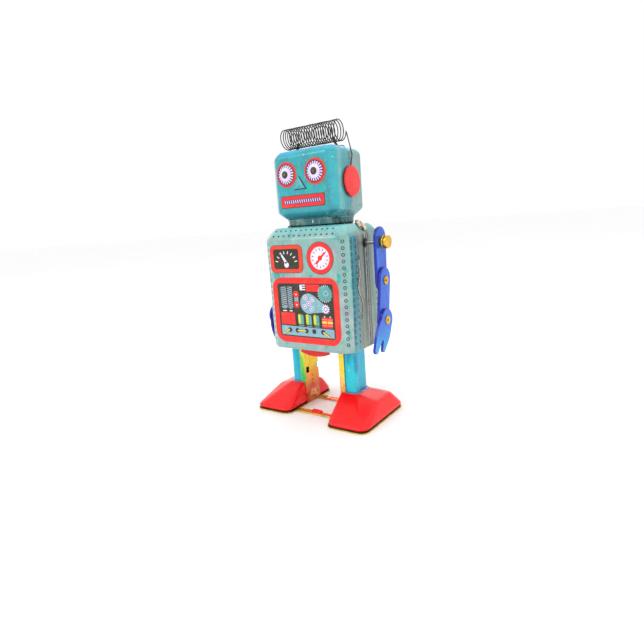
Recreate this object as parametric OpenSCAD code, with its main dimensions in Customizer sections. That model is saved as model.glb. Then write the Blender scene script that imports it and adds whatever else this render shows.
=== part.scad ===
// Tin wind-up walking robot: pressed tin body and head, clockwork, crank-driven legs, riveted arms.
// The robot faces -Y, its left side is +X, and it stands on z = 0.

/* [Body] */
// Width of the body
body_w = 41.2; // [40:0.2:43]
// Depth of the body
body_d = 30.4; // [30:0.2:32]
// Height of the body's lower edge above the ground
body_z0 = 29; // [28.5:0.1:29.5]
// Height where the body's top bevel begins
body_z1 = 75; // [74.5:0.1:76]
// Height of the shoulders
body_top = 79.6; // [79:0.1:80]
// Radius of the body's upright corners
body_r = 4.5; // [3:0.1:5]
// Thickness of the tin sheet
tin = 0.4; // [0.3:0.05:0.5]

/* [Head] */
// Width of the head
head_w = 30.8; // [29:0.2:33]
// Depth of the head
head_d = 24; // [22:0.2:27]
// Height where the head's upright walls begin
head_z0 = 85.5; // [85:0.1:86]
// Height where the head's top bevel begins
head_z1 = 107; // [105:0.1:108]
// Height of the head's flat top
head_top = 109.6; // [109:0.1:110]
// Width of the neck
neck_w = 25.4; // [22:0.2:26]
// Depth of the neck
neck_d = 16.4; // [14:0.2:18]
// Height of the neck's upper edge
neck_top = 82.7; // [82:0.1:83.5]
// Diameter of each ear disc
ear_d = 11.9; // [10:0.1:13]
// Height of the ears' centres
ear_z = 95.9; // [94:0.1:97]

/* [Antenna] */
// Outside diameter of the antenna coil
coil_d = 8.6; // [8:0.1:8.8]
// Height of the coil's axis
coil_z = 115.7; // [115.5:0.1:116]
// Length of the coil
coil_len = 27.6; // [24:0.2:28]
// Distance of the coil's middle towards the robot's left
coil_mid = -1.6; // [-1.8:0.1:0]
// Turns of the coil
coil_turns = 24; // [18:1:26]
// Diameter of the antenna wire
wire_d = 0.45; // [0.4:0.05:0.6]

/* [Arms] */
// Diameter of the shoulder axle
axle_d = 1.6; // [1.4:0.1:1.8]
// Height of the shoulder axle
axle_z = 71.7; // [71:0.1:72]
// Distance from the middle of the robot to the inner face of the left upper arm
arm_x = 26.6; // [25:0.1:26.8]
// The same distance on the right, where the axle has slid in
arm_in = 21.2; // [21.1:0.1:26.8]
// Half width of an arm plate
arm_r = 4.4; // [4:0.05:4.5]
// Height of the elbow rivet
elbow_z = 56.65; // [56:0.05:57]
// Height of the wrist rivet
wrist_z = 40.9; // [40.5:0.05:41.5]
// Forward lean of the hanging claws in degrees
claw_lean = 22; // [0:1:30]
// Forward lean of the left forearm in degrees
fore_lean = 8; // [0:1:12]
// Forward lean of the whole right arm in degrees
right_lean = 10; // [0:1:12]
// Backward lean of the right claw in degrees
claw_back = 30; // [0:1:30]

/* [Clockwork] */
// Gear module
gear_m = 0.5; // [0.5]
// Teeth of the crown wheel that the spring turns
great_n = 22; // [22]
// Teeth of the second wheel and of the governor's driving wheel
wheel_n = 24; // [24]
// Teeth of each pinion
pinion_n = 10; // [10]
// Height of the winding arbor
wind_z = 62; // [62]
// Distance of the two cranks behind the seam, negative is forward
crank_y = -2.2; // [-2.2]
// Height of the lower crank
low_z = 33; // [32.5:0.1:33.5]
// Throw of the cranks
throw = 2; // [1.6:0.1:2]

/* [Legs] */
// Inner face of a leg frame from the middle of the robot
leg_x = 10.5; // [10.5:0.1:10.6]
// Outer face of a leg cover from the middle of the robot
leg_out = 17.7; // [17:0.1:18]
// Depth of a leg
leg_d = 9.5; // [9:0.1:10]
// Outer edge of a foot from the middle of the robot
foot_out = 29.4; // [28:0.1:29.6]
// Distance from the crank line forward to the toe
toe = 19; // [17:0.1:19]
// Distance from the crank line back to the heel
heel = 16; // [14:0.1:16]
// Height of the instep
instep = 10.6; // [10:0.1:11.5]
// Height of the foot around the leg, out to its outer edge
foot_step = 7.8; // [5:0.1:8]

/* [Hidden] */
$fn = 32;
e = 0.01;
wheel_r = gear_m * wheel_n / 2;
pinion_r = gear_m * pinion_n / 2;
great_r = gear_m * great_n / 2;
mesh = wheel_r + pinion_r;
crank_z = wind_z - sqrt(mesh * mesh - crank_y * crank_y);
gov_y = crank_y - 0.8 * mesh;
gov_z = crank_z - 0.6 * mesh;
plate_x = 8.3;
run = 0.05;
key_end = 27.1;
coil_r = (coil_d - wire_d) / 2;
frame_shift = -(key_end + crank_y - throw - toe - 0.3) / 2;
side_shift = -(arm_x + 4.6 - foot_out - 0.3) / 2;

// ---------- helpers ----------
module rod_x(x0, x1, y, z, d) translate([x0, y, z]) rotate([0, 90, 0]) cylinder(h = x1 - x0, d = d);
module rod_y(y0, y1, x, z, d) translate([x, y1, z]) rotate([90, 0, 0]) cylinder(h = y1 - y0, d = d);
// children drawn in (y, z), thickness along x
module slab_x(x0, x1) translate([x0, 0, 0]) rotate([90, 0, 90]) linear_extrude(x1 - x0) children();
// children drawn in (x, z), thickness along y
module slab_y(y0, y1) translate([0, y1, 0]) rotate([90, 0, 0]) linear_extrude(y1 - y0) children();

module round_rect(w, d, r) {
  square([w - 2 * r, d], center = true);
  square([w, d - 2 * r], center = true);
  for (x = [-1, 1], y = [-1, 1]) translate([x * (w / 2 - r), y * (d / 2 - r)]) circle(r);
}

module layer(w, d, r, z) translate([0, 0, z]) linear_extrude(e) round_rect(w, d, r);

// points along an arc
function arc(x, z, r, a0, a1) = [for (i = [0:12]) let (a = a0 + (a1 - a0) * i / 12)
  [x + r * cos(a), z + r * sin(a)]];

module stadium(z0, z1, r) {
  translate([0, z0]) circle(r);
  translate([0, z1]) circle(r);
  translate([-r, z0]) square([2 * r, z1 - z0]);
}

// a spur gear outline with slim straight-sided teeth; phase is in tooth pitches
module gear2d(n, phase = 0) {
  r = gear_m * n / 2;
  root = r - 0.65;
  tip = r + 0.42;
  s = 360 / n;
  polygon([for (i = [0:n - 1], k = [[root, -0.3], [tip, -0.1], [tip, 0.1], [root, 0.3]])
    let (a = (i + phase + k[1]) * s) k[0] * [cos(a), sin(a)]]);
}

module front_half() intersection() {
  children();
  translate([-60, -60, 0]) cube([120, 60, 140]);
}

module back_half() intersection() {
  children();
  translate([-60, 0, 0]) cube([120, 60, 140]);
}

// mirrors a left-hand part for the right side
module side(s) mirror([s < 0 ? 1 : 0, 0, 0]) children();

// ---------- body and head shells ----------
module body_solid(t) {
  w = body_w - 2 * t;
  d = body_d - 2 * t;
  r = body_r - t;
  translate([0, 0, body_z0 - (t > 0 ? 1 : 0)]) linear_extrude(body_z1 - body_z0 + (t > 0 ? 1 : 0))
    round_rect(w, d, r);
  hull() {
    layer(w, d, r, body_z1 - e);
    layer(w - 3.2, d - 3.2, r - 0.8, body_z1 + 2.4 - t / 2);
    layer(w - 6.8, d - 6.8, r - 1.8, body_top - e - t);
  }
}

module body_shell() {
  difference() {
    body_solid(0);
    body_solid(tin);
    rod_x(-30, 30, 0, axle_z, axle_d + 1);
    rod_y(10, 20, 0, wind_z, 5);
  }
  difference() {
    translate([0, 0, body_z0]) linear_extrude(tin) round_rect(body_w - e, body_d - e, body_r);
    translate([0, 0, body_z0 - 1]) linear_extrude(3) round_rect(body_w - 3, body_d - 3, body_r - 1.5);
  }
}

module body_front_shell() color([0.55, 0.70, 0.67]) front_half() body_shell();
module body_back_shell() color([0.25, 0.60, 0.60]) back_half() body_shell();

module head_solid(t) {
  w = head_w - 2 * t;
  d = head_d - 2 * t;
  r = 3.5 - t;
  hull() {
    layer(neck_w - 2 * t, neck_d - 2 * t, 2.4 - t, neck_top + t);
    layer(w, d, r, head_z0 + t / 3);
  }
  translate([0, 0, head_z0 + t / 3]) linear_extrude(head_z1 - head_z0 - 2 * t / 3) round_rect(w, d, r);
  hull() {
    layer(w, d, r, head_z1 - t / 3 - e);
    layer(w - 5, d - 5, 2.4 - t, head_top - t - e);
  }
}

module head_shell() difference() {
  head_solid(0);
  head_solid(tin);
}

module head_front_shell() color([0.24, 0.65, 0.69]) front_half() head_shell();
module head_back_shell() color([0.20, 0.58, 0.62]) back_half() head_shell();

module neck_collar() color([0.15, 0.45, 0.50]) translate([0, 0, body_top])
  linear_extrude(neck_top - body_top) difference() {
    round_rect(neck_w, neck_d, 2.4);
    round_rect(neck_w - 1, neck_d - 1, 1.9);
  }

module seam_tabs() color([0.75, 0.62, 0.50]) for (s = [-1, 1]) side(s) {
  translate([body_w / 2 - 2.5, 1.4, body_top - 1.1]) rotate([0, 50.6, 0]) translate([0, 0, 0.08])
    intersection() {
      cylinder(h = 0.7, d = 4.6);
      translate([-2.1, -2.4, 0]) cube([4, 4.8, 0.7]);
    }
  translate([10.1, -1.6, head_top + 0.005]) cube([2.6, 3.2, 0.5]);
}

module ear(s) color([0.92, 0.18, 0.16]) side(s) translate([head_w / 2, 0, ear_z]) rotate([0, 90, 0]) {
  cylinder(h = 0.9, d = ear_d, $fn = 48);
  translate([0, 0, 0.9]) cylinder(h = 0.4, d1 = ear_d, d2 = ear_d - 1, $fn = 48);
}
module ear_disc_left() ear(1);
module ear_disc_right() ear(-1);

// ---------- antenna ----------
module coil_wire() {
  steps = 12;
  n = coil_turns * steps;
  ring = 5;
  pts = [for (i = [0:n], k = [0:ring - 1])
    let (a = 360 * i / steps - 90, b = 360 * k / ring, rr = coil_r + wire_d / 2 * cos(b))
    [coil_mid - coil_len / 2 + coil_len * i / n + wire_d / 2 * sin(b), rr * cos(a), coil_z + rr * sin(a)]];
  faces = concat(
    [for (i = [0:n - 1], k = [0:ring - 1]) let (m = (k + 1) % ring)
      [i * ring + k, (i + 1) * ring + m, i * ring + m]],
    [for (i = [0:n - 1], k = [0:ring - 1]) let (m = (k + 1) % ring)
      [i * ring + k, (i + 1) * ring + k, (i + 1) * ring + m]],
    [[for (k = [0:ring - 1]) k], [for (k = [ring - 1:-1:0]) n * ring + k]]);
  polyhedron(pts, faces);
}

module antenna_coil() color([0.20, 0.20, 0.22]) coil_wire();

// wire through points that rise, with the same level outline at each
module bent_wire(path) {
  ring = 12;
  top = len(path) - 1;
  pts = [for (p = path, k = [0:ring - 1])
    p + wire_d / 2 * [cos(360 * k / ring), sin(360 * k / ring), 0]];
  faces = concat(
    [[for (k = [0:ring - 1]) k]],
    [for (i = [0:top - 1], k = [0:ring - 1]) let (m = (k + 1) % ring)
      [i * ring + k, (i + 1) * ring + k, (i + 1) * ring + m, i * ring + m]],
    [[for (k = [ring - 1:-1:0]) top * ring + k]]);
  polyhedron(pts, faces);
}

module antenna_leads() color([0.20, 0.20, 0.22]) for (s = [-1, 1]) bent_wire([
  [s * (head_w / 2 + 0.5), 0, ear_z + ear_d / 2 + 0.02],
  [s * (head_w / 2 + 0.5), 0, coil_z - coil_r - 3.2],
  [coil_mid + s * (coil_len / 2 + wire_d + 0.03), 0, coil_z - coil_r]]);

// ---------- clockwork frame ----------
module motor_plate(s) color([0.80, 0.72, 0.45]) side(s) difference() {
  slab_x(plate_x, plate_x + 0.5) polygon([[-12.6, 50], [-12.6, 42], [-7, 30], [9, 30], [12, 34], [12, 69.2],
    [-5, 69.2]]);
  rod_x(plate_x - 1, plate_x + 2, 0, wind_z, 1.2 + 2 * run);
  rod_x(plate_x - 1, plate_x + 2, crank_y, crank_z, 1.6 + 2 * run);
  rod_x(plate_x - 1, plate_x + 2, crank_y, low_z, 1.6 + 2 * run);
  rod_x(plate_x - 1, plate_x + 2, gov_y, gov_z, 0.8 + 2 * run);
}
module motor_plate_left() motor_plate(1);
module motor_plate_right() motor_plate(-1);

module motor_back_plate() color([0.78, 0.70, 0.45]) difference() {
  slab_y(11.4, 11.9) translate([-plate_x, 46]) square([2 * plate_x, 23.2]);
  rod_y(10, 13, 0, wind_z, 1.8 + 2 * run);
}

module motor_bridge() color([0.78, 0.70, 0.45]) difference() {
  slab_y(5.4, 5.9) translate([-plate_x, 56.5]) square([2 * plate_x, 11]);
  rod_y(4, 7, 0, wind_z, 1.8 + 2 * run);
  translate([6.3, 5, wind_z - 4]) cube([1.4, 2, 8]);
}

module motor_pillars() color("silver") {
  for (p = [[9.6, 34.5], [-11.4, 44.3], [9, 46]]) rod_x(-plate_x, plate_x, p[0], p[1], 1.8);
  rod_y(5.9, 11.4, -7.83, wind_z, 0.7);
}

// red guard plate that hangs below the front edge of the body
module drive_guard() color([0.90, 0.15, 0.12]) slab_y(-11.2, -10.6) difference() {
  union() {
    intersection() {
      translate([0, 43.5]) circle(18.2, $fn = 128);
      translate([-7.2, 20]) square([14.4, 20]);
    }
    translate([-plate_x, 39]) square([2 * plate_x, 3.6]);
  }
  for (x = [-3.5, 3.5]) translate([x, 36]) circle(1.2);
}

module motor_brackets() color([0.78, 0.70, 0.45]) for (s = [-1, 1]) side(s) {
  translate([plate_x + 0.5, 9.4, 60]) cube([body_w / 2 - tin - plate_x - 0.5, 0.5, 6]);
  translate([body_w / 2 - tin - 0.5, 5.4, 60]) cube([0.5, 4.1, 6]);
}

module mainspring() color([0.30, 0.32, 0.38]) slab_y(6.4, 10.8) translate([0, wind_z]) {
  turns = 4.5;
  k = 24;
  n = turns * k;
  r = function (i) 1.5 + 5.6 * i / n;
  polygon(concat([for (i = [0:n]) r(i) * [cos(360 * i / k), sin(360 * i / k)]],
    [for (i = [n:-1:0]) (r(i) + 0.35) * [cos(360 * i / k), sin(360 * i / k)]]));
}

// ---------- winding ----------
module winding_key() color([0.80, 0.80, 0.82]) {
  difference() {
    rod_y(14, 19.4, 0, wind_z, 3.2);
    rod_y(13, 19, 0, wind_z, 1.84);
  }
  translate([0, 0, wind_z - 0.35]) linear_extrude(0.7) difference() {
    union() {
      for (s = [-1, 1]) translate([s * 4, key_end - 3.7]) circle(3.7);
      translate([-4, 18.6]) square([8, 3.4]);
      translate([-4, 19]) square([8, 4.4]);
    }
    for (s = [-1, 1]) translate([s * 4.2, key_end - 3.7]) circle(1.5);
  }
}

module winding_arbor() color("silver") {
  rod_y(3.05, 18.55, 0, wind_z, 1.8);
  rod_y(2.4, 3.05, 0, wind_z, 3);
}

module ratchet_wheel() color([0.75, 0.65, 0.35]) difference() {
  slab_y(4.5, 5.1) translate([0, wind_z]) {
    n = 12;
    polygon([for (i = [0:n - 1], k = [[2.1, 0], [2.8, 0.1]]) let (a = 360 * (i + k[1]) / n)
      k[0] * [cos(a), sin(a)]]);
  }
  rod_y(4, 6, 0, wind_z, 1.84);
}

module great_wheel() color([0.85, 0.70, 0.30]) {
  difference() {
    rod_y(3.12, 4.2, 0, wind_z, 2 * great_r + 1.1);
    rod_y(3, 6, 0, wind_z, 1.8 + 2 * run);
  }
  for (i = [0:great_n - 1]) translate([0, 0, wind_z]) rotate([0, (i + 0.5) * 360 / great_n, 0])
    translate([great_r - 0.5, 0, 0]) rotate([0, 90, 0]) linear_extrude(1)
      polygon([[-0.36, 3.2], [-0.16, 2.1], [0.16, 2.1], [0.36, 3.2]]);
}

module click() color("silver") difference() {
  slab_y(4.5, 5) translate([0, wind_z]) polygon([[3.35, -0.2], [2.95, 0.35], [3.6, 1.2], [4.6, 2.6],
    [5.4, 2.4], [5.3, 1.5], [4.4, 0.4]]);
  rod_y(4, 6, 4.85, wind_z + 2, 0.6 + 2 * run);
}

module click_rivet() color("silver") {
  rod_y(4.21, 5.1, 4.85, wind_z + 2, 0.6);
  rod_y(5.05, 5.25, 4.85, wind_z + 2, 1.1);
}

// ---------- train ----------
module second_arbor() color("silver") rod_x(-plate_x - 0.8, plate_x + 0.8, 0, wind_z, 1.2);

// a gear on an x arbor with a bore that fits its arbor; the tooth phase is given by the caller
module spur(n, x0, x1, y, z, bore, phase) difference() {
  slab_x(x0, x1) translate([y, z]) gear2d(n, phase);
  rod_x(x0 - 1, x1 + 1, y, z, bore + 0.04);
}

// direction from the second arbor to the crank arbor, and from that to the governor
down_a = atan2(crank_z - wind_z, crank_y);
gov_a = atan2(gov_z - crank_z, gov_y - crank_y);

module second_wheel() color([0.85, 0.70, 0.30])
  spur(wheel_n, 6.6, 7.4, 0, wind_z, 1.2, down_a / (360 / wheel_n));
module second_pinion() color("silver") spur(pinion_n, -6.15, -4.85, 0, wind_z, 1.2, 0);

module crank_arbor() color("silver") rod_x(-plate_x - 1, plate_x + 1, crank_y, crank_z, 1.6);
module crank_pinion() color("silver")
  spur(pinion_n, 6.45, 7.55, crank_y, crank_z, 1.6, (down_a + 180) / (360 / pinion_n) + 0.5);
module governor_driver() color([0.85, 0.70, 0.30])
  spur(wheel_n, -7.4, -6.6, crank_y, crank_z, 1.6, gov_a / (360 / wheel_n));

// crank disc and pin outside a motor plate; the left pin stands forward and the right one back
module crank(s, z, pin_d) color("silver") side(s) difference() {
  union() {
    rod_x(plate_x + 0.7, plate_x + 1.5, crank_y, z, 6.2);
    rod_x(plate_x + 1.4, leg_x + 1.1, crank_y - s * throw, z, pin_d);
    rod_x(leg_x + 0.65, leg_x + 1.1, crank_y - s * throw, z, 2.2);
  }
  rod_x(plate_x, plate_x + 1.3, crank_y, z, 1.64);
}
module upper_crank_left() crank(1, crank_z, 1.4);
module upper_crank_right() crank(-1, crank_z, 1.4);
module lower_crank_left() crank(1, low_z, 1.4);
module lower_crank_right() crank(-1, low_z, 1.4);

module drum_shaft() color("silver") rod_x(-plate_x - 1, plate_x + 1, crank_y, low_z, 1.6);

// crowned drum: an arc turned about the lower crank shaft
module crank_drum() color([0.90, 0.15, 0.12]) translate([0, crank_y, low_z]) rotate([0, 90, 0])
  rotate_extrude($fn = 64) intersection() {
    translate([0.84, -6.4]) square([12, 12.8]);
    translate([-8.3, 0]) circle(15.8, $fn = 96);
  }

module governor_arbor() color("silver") rod_x(-plate_x - 0.8, plate_x + 0.8, gov_y, gov_z, 0.8);
module governor_pinion() color("silver")
  spur(pinion_n, -7.55, -6.45, gov_y, gov_z, 0.8, (gov_a + 180) / (360 / pinion_n) + 0.5);
module governor_weight() color([0.80, 0.65, 0.30]) difference() {
  union() {
    rod_x(-2.5, 2.5, gov_y, gov_z, 2);
    rod_x(-0.8, 0.8, gov_y, gov_z, 6.4);
  }
  rod_x(-4, 4, gov_y, gov_z, 0.84);
}

// ---------- legs ----------
// drawn for the left leg and moved to its crank pin
module leg(s) translate([0, crank_y - s * throw, 0]) side(s) children();

module leg_frame(s) color([0.93, 0.77, 0.22]) leg(s) difference() {
  union() {
    slab_x(leg_x, leg_x + 0.4) polygon([[-leg_d / 2 - 0.42, 0.5], [leg_d / 2 + 0.42, 0.5],
      [leg_d / 2 + 0.42, 38.5], [leg_d / 2, 38.5], [leg_d / 2, 42], [2.6, 57.5], [-2.6, 57.5],
      [-leg_d / 2, 42], [-leg_d / 2, 38.5], [-leg_d / 2 - 0.42, 38.5]]);
    for (y = [-leg_d / 2 - 0.42, leg_d / 2 + 0.02]) translate([leg_x, y, 0.5]) cube([2.2, 0.4, 38]);
  }
  rod_x(leg_x - 1, leg_x + 1, 0, low_z, 1.4 + 2 * run);
  rod_x(leg_x - 1, leg_x + 1, 0, crank_z, 2);
  slab_x(leg_x - 1, leg_x + 1) {
    translate([-leg_d / 2 + 0.5, 14.5]) square([2.2, 2.8]);
    translate([leg_d / 2 - 1.3, 15]) square([2, 2.6]);
    for (p = [[0, 12.6], [0.3, 10.4], [-0.1, 8.4]]) translate(p) circle(0.35);
  }
}
module leg_frame_left() leg_frame(1);
module leg_frame_right() leg_frame(-1);

module leg_cover(s) color([0.18, 0.65, 0.80]) leg(s) translate([0, 0, 9.4]) linear_extrude(30)
  difference() {
    translate([leg_x + 0.45, -leg_d / 2]) square([leg_out - leg_x - 0.45, leg_d]);
    translate([leg_x, -leg_d / 2 + tin]) square([leg_out - leg_x - tin, leg_d - 2 * tin]);
  }
module leg_cover_left() leg_cover(1);
module leg_cover_right() leg_cover(-1);

module foot_solid(inset) hull() {
  translate([(leg_x + foot_out) / 2 + 0.2, (heel - toe) / 2, inset > 0 ? 0.1 : 0.5])
    linear_extrude(inset > 0 ? 1.5 : 1.3)
      round_rect(foot_out - leg_x - 0.4 - 2 * inset, toe + heel - 2 * inset, 3.6 - inset);
  translate([leg_x + 0.4 + inset, -leg_d / 2 - 1.2 + inset, instep - inset - 0.4])
    cube([leg_out - leg_x + 0.6 - 2 * inset, leg_d + 2 - 2 * inset, 0.4]);
  translate([leg_x + 0.4 + inset, -4.5 + inset, foot_step - inset - 0.4])
    cube([foot_out - leg_x - 2.8 - 2 * inset, heel - 1 - 2 * inset, 0.4]);
}

module foot_shell(s) color([0.96, 0.22, 0.20]) leg(s) difference() {
  foot_solid(0);
  foot_solid(tin);
  translate([leg_x - 1, -leg_d / 2 - 0.5, 3]) cube([leg_out - leg_x + 1.05, leg_d + 1, 12]);
  translate([leg_x - 1, -leg_d / 2 - 0.5, 0]) cube([3.25, leg_d + 1, 4]);
}
module foot_shell_left() foot_shell(1);
module foot_shell_right() foot_shell(-1);

// sole plate with its stabiliser bar: the right foot's bar runs across in front, the left one's behind
module foot_sole(s) color([0.90, 0.74, 0.22]) leg(s) {
  translate([0, 0, 0]) linear_extrude(0.5) {
    translate([(leg_x + foot_out) / 2 + 0.1, (heel - toe) / 2])
      round_rect(foot_out - leg_x + 0.4, toe + heel + 0.6, 3.8);
    translate([-10, s < 0 ? -14.4 : 7.2]) square([leg_x + 12, 3]);
  }
}
module foot_sole_left() foot_sole(1);
module foot_sole_right() foot_sole(-1);

// ---------- arms ----------
function inner(s) = s > 0 ? arm_x : arm_in;
function whole_lean(s) = s > 0 ? 0 : right_lean;
function lower_lean(s) = s > 0 ? fore_lean : 0;
function hand_lean(s) = s > 0 ? claw_lean : -claw_back;

// an arm is drawn hanging straight down and then leaned forward about its pivots
module about(z, lean) translate([0, 0, z]) rotate([-lean, 0, 0]) translate([0, 0, -z]) children();
module arm_side(s) side(s) about(axle_z, whole_lean(s)) children();
module lower_arm_side(s) arm_side(s) about(elbow_z, lower_lean(s)) children();

module arm_axle() color("silver") rod_x(-arm_in - 3.2, arm_x + 3.2, 0, axle_z, axle_d);

module knob(s) color([0.86, 0.68, 0.22]) side(s) difference() {
  x = inner(s);
  union() {
    rod_x(x + 1.2, x + 2.1, 0, axle_z, 4);
    rod_x(x + 2.1, x + 4.6, 0, axle_z, 5.2);
  }
  rod_x(x, x + 3.3, 0, axle_z, axle_d + 0.04);
}
module shoulder_knob_left() knob(1);
module shoulder_knob_right() knob(-1);

// shallow pressed channel, open towards the body
module arm_plate(x0, z0, z1, holes) difference() {
  slab_x(x0, x0 + 1.1) stadium(z0, z1, arm_r);
  slab_x(x0 - 1, x0 + 0.7) stadium(z0, z1, arm_r - 0.4);
  for (h = holes) rod_x(x0 - 1, x0 + 2, 0, h[0], h[1]);
}

module upper_arm(s) color([0.22, 0.50, 0.86]) arm_side(s)
  arm_plate(inner(s), elbow_z, axle_z + 1.7, [[axle_z, axle_d + 2 * run], [elbow_z, 1.24]]);
module upper_arm_left() upper_arm(1);
module upper_arm_right() upper_arm(-1);

module forearm(s) color([0.22, 0.55, 0.88]) lower_arm_side(s)
  arm_plate(inner(s) + 1.25, wrist_z, elbow_z + 0.85, [[elbow_z, 1.2 + 2 * run], [wrist_z, 1.24]]);
module forearm_left() forearm(1);
module forearm_right() forearm(-1);

module claw_outline() polygon(concat(
  arc(0, 0, 4.6, -10, 190),
  [[-5.5, -3.4], [-5.8, -6.5], [-5.5, -9.8]],
  arc(-3.3, -13.6, 1.5, 170, 335),
  [[-0.5, -9], [0, -8.3], [0.5, -8.9]],
  arc(2.3, -11.6, 1.1, 200, 365),
  [[4.3, -8.6], [5, -5.2], [5, -3]]));

module claw(s) color([0.20, 0.58, 0.90]) lower_arm_side(s) difference() {
  slab_x(inner(s) + 2.5, inner(s) + 3.6) translate([0, wrist_z]) rotate(-hand_lean(s)) claw_outline();
  rod_x(inner(s) + 2, inner(s) + 4.5, 0, wrist_z, 1.2 + 2 * run);
}
module claw_left() claw(1);
module claw_right() claw(-1);

// rivet with a domed head outside and a flat one inside
module rivet(x0, x1, z) {
  rod_x(x0, x1, 0, z, 1.2);
  rod_x(x0, x0 + 0.3, 0, z, 2.4);
  translate([x1, 0, z]) rotate([0, 90, 0]) {
    cylinder(h = 0.3, d = 2.8);
    translate([0, 0, 0.3]) cylinder(h = 0.3, d1 = 2.8, d2 = 1.6);
  }
}

module elbow_rivet(s) color([0.86, 0.68, 0.22]) arm_side(s)
  rivet(inner(s) + 0.4, inner(s) + 2.45, elbow_z);
module elbow_rivet_left() elbow_rivet(1);
module elbow_rivet_right() elbow_rivet(-1);

module wrist_rivet(s) color([0.86, 0.68, 0.22]) lower_arm_side(s)
  rivet(inner(s) + 1.65, inner(s) + 3.7, wrist_z);
module wrist_rivet_left() wrist_rivet(1);
module wrist_rivet_right() wrist_rivet(-1);

// ---------- drawing ----------
module place() translate([side_shift, frame_shift, 0]) children();
place() body_front_shell();
place() body_back_shell();
place() head_front_shell();
place() head_back_shell();
place() neck_collar();
place() seam_tabs();
place() ear_disc_left();
place() ear_disc_right();
place() antenna_coil();
place() antenna_leads();
place() motor_plate_left();
place() motor_plate_right();
place() motor_back_plate();
place() motor_bridge();
place() motor_pillars();
place() motor_brackets();
place() mainspring();
place() arm_axle();
place() shoulder_knob_left();
place() shoulder_knob_right();
place() winding_key();
place() winding_arbor();
place() ratchet_wheel();
place() great_wheel();
place() click();
place() second_arbor();
place() second_wheel();
place() second_pinion();
place() crank_arbor();
place() crank_pinion();
place() governor_driver();
place() upper_crank_left();
place() upper_crank_right();
place() crank_drum();
place() drum_shaft();
place() lower_crank_left();
place() lower_crank_right();
place() governor_arbor();
place() governor_pinion();
place() governor_weight();
place() leg_frame_left();
place() leg_frame_right();
place() leg_cover_left();
place() leg_cover_right();
place() foot_shell_left();
place() foot_shell_right();
place() foot_sole_left();
place() foot_sole_right();
place() upper_arm_left();
place() upper_arm_right();
place() forearm_left();
place() forearm_right();
place() claw_left();
place() claw_right();
place() elbow_rivet_left();
place() elbow_rivet_right();
place() wrist_rivet_left();
place() wrist_rivet_right();
place() click_rivet();
place() drive_guard();
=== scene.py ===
from math import copysign, cos, pi, radians, sin, tan

import bpy
import bmesh
from mathutils import Matrix, Vector


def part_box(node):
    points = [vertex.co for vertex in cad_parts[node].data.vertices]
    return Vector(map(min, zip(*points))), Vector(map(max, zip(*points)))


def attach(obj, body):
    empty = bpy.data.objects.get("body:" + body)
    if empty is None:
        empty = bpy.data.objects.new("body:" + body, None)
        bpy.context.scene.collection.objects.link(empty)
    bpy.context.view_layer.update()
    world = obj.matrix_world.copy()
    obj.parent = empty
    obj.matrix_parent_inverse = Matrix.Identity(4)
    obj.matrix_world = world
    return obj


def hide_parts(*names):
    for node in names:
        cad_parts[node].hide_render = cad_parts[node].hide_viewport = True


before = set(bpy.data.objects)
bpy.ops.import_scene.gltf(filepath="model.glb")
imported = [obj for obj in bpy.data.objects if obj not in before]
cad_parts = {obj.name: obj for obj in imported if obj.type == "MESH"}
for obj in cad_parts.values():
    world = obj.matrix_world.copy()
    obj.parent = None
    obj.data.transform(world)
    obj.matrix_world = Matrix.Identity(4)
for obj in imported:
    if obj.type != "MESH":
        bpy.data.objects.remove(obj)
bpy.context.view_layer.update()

MM = 0.001
SIDES = ((1, "left"), (-1, "right"))
shell_low, shell_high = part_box("body_front_shell")
SEAM = shell_high.y
MIDDLE = (shell_low.x + shell_high.x) / 2


def P(x, y, z):
    """A point in millimetres, x from the body's middle and y from its seam, in metres."""
    return Vector((MIDDLE + x * MM, SEAM + y * MM, z * MM))


def size_of(node):
    """Lowest and highest corner of a CAD node in millimetres, x from the middle and y from the seam."""
    lo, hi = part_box(node)
    return [((p.x - MIDDLE) / MM, (p.y - SEAM) / MM, p.z / MM) for p in (lo, hi)]


(_, body_front, body_bottom), (body_side, _, body_top) = size_of("body_front_shell")
(_, head_front, head_bottom), (head_side, _, head_top) = size_of("head_front_shell")


# ---------- materials ----------
def rgb(r, g, b):
    """A screen colour, 0 to 255 a channel, as a shader colour."""
    lin = [c / 12.92 if c <= 0.04045 else ((c + 0.055) / 1.055) ** 2.4 for c in (r / 255, g / 255, b / 255)]
    return (lin[0], lin[1], lin[2], 1.0)


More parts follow.
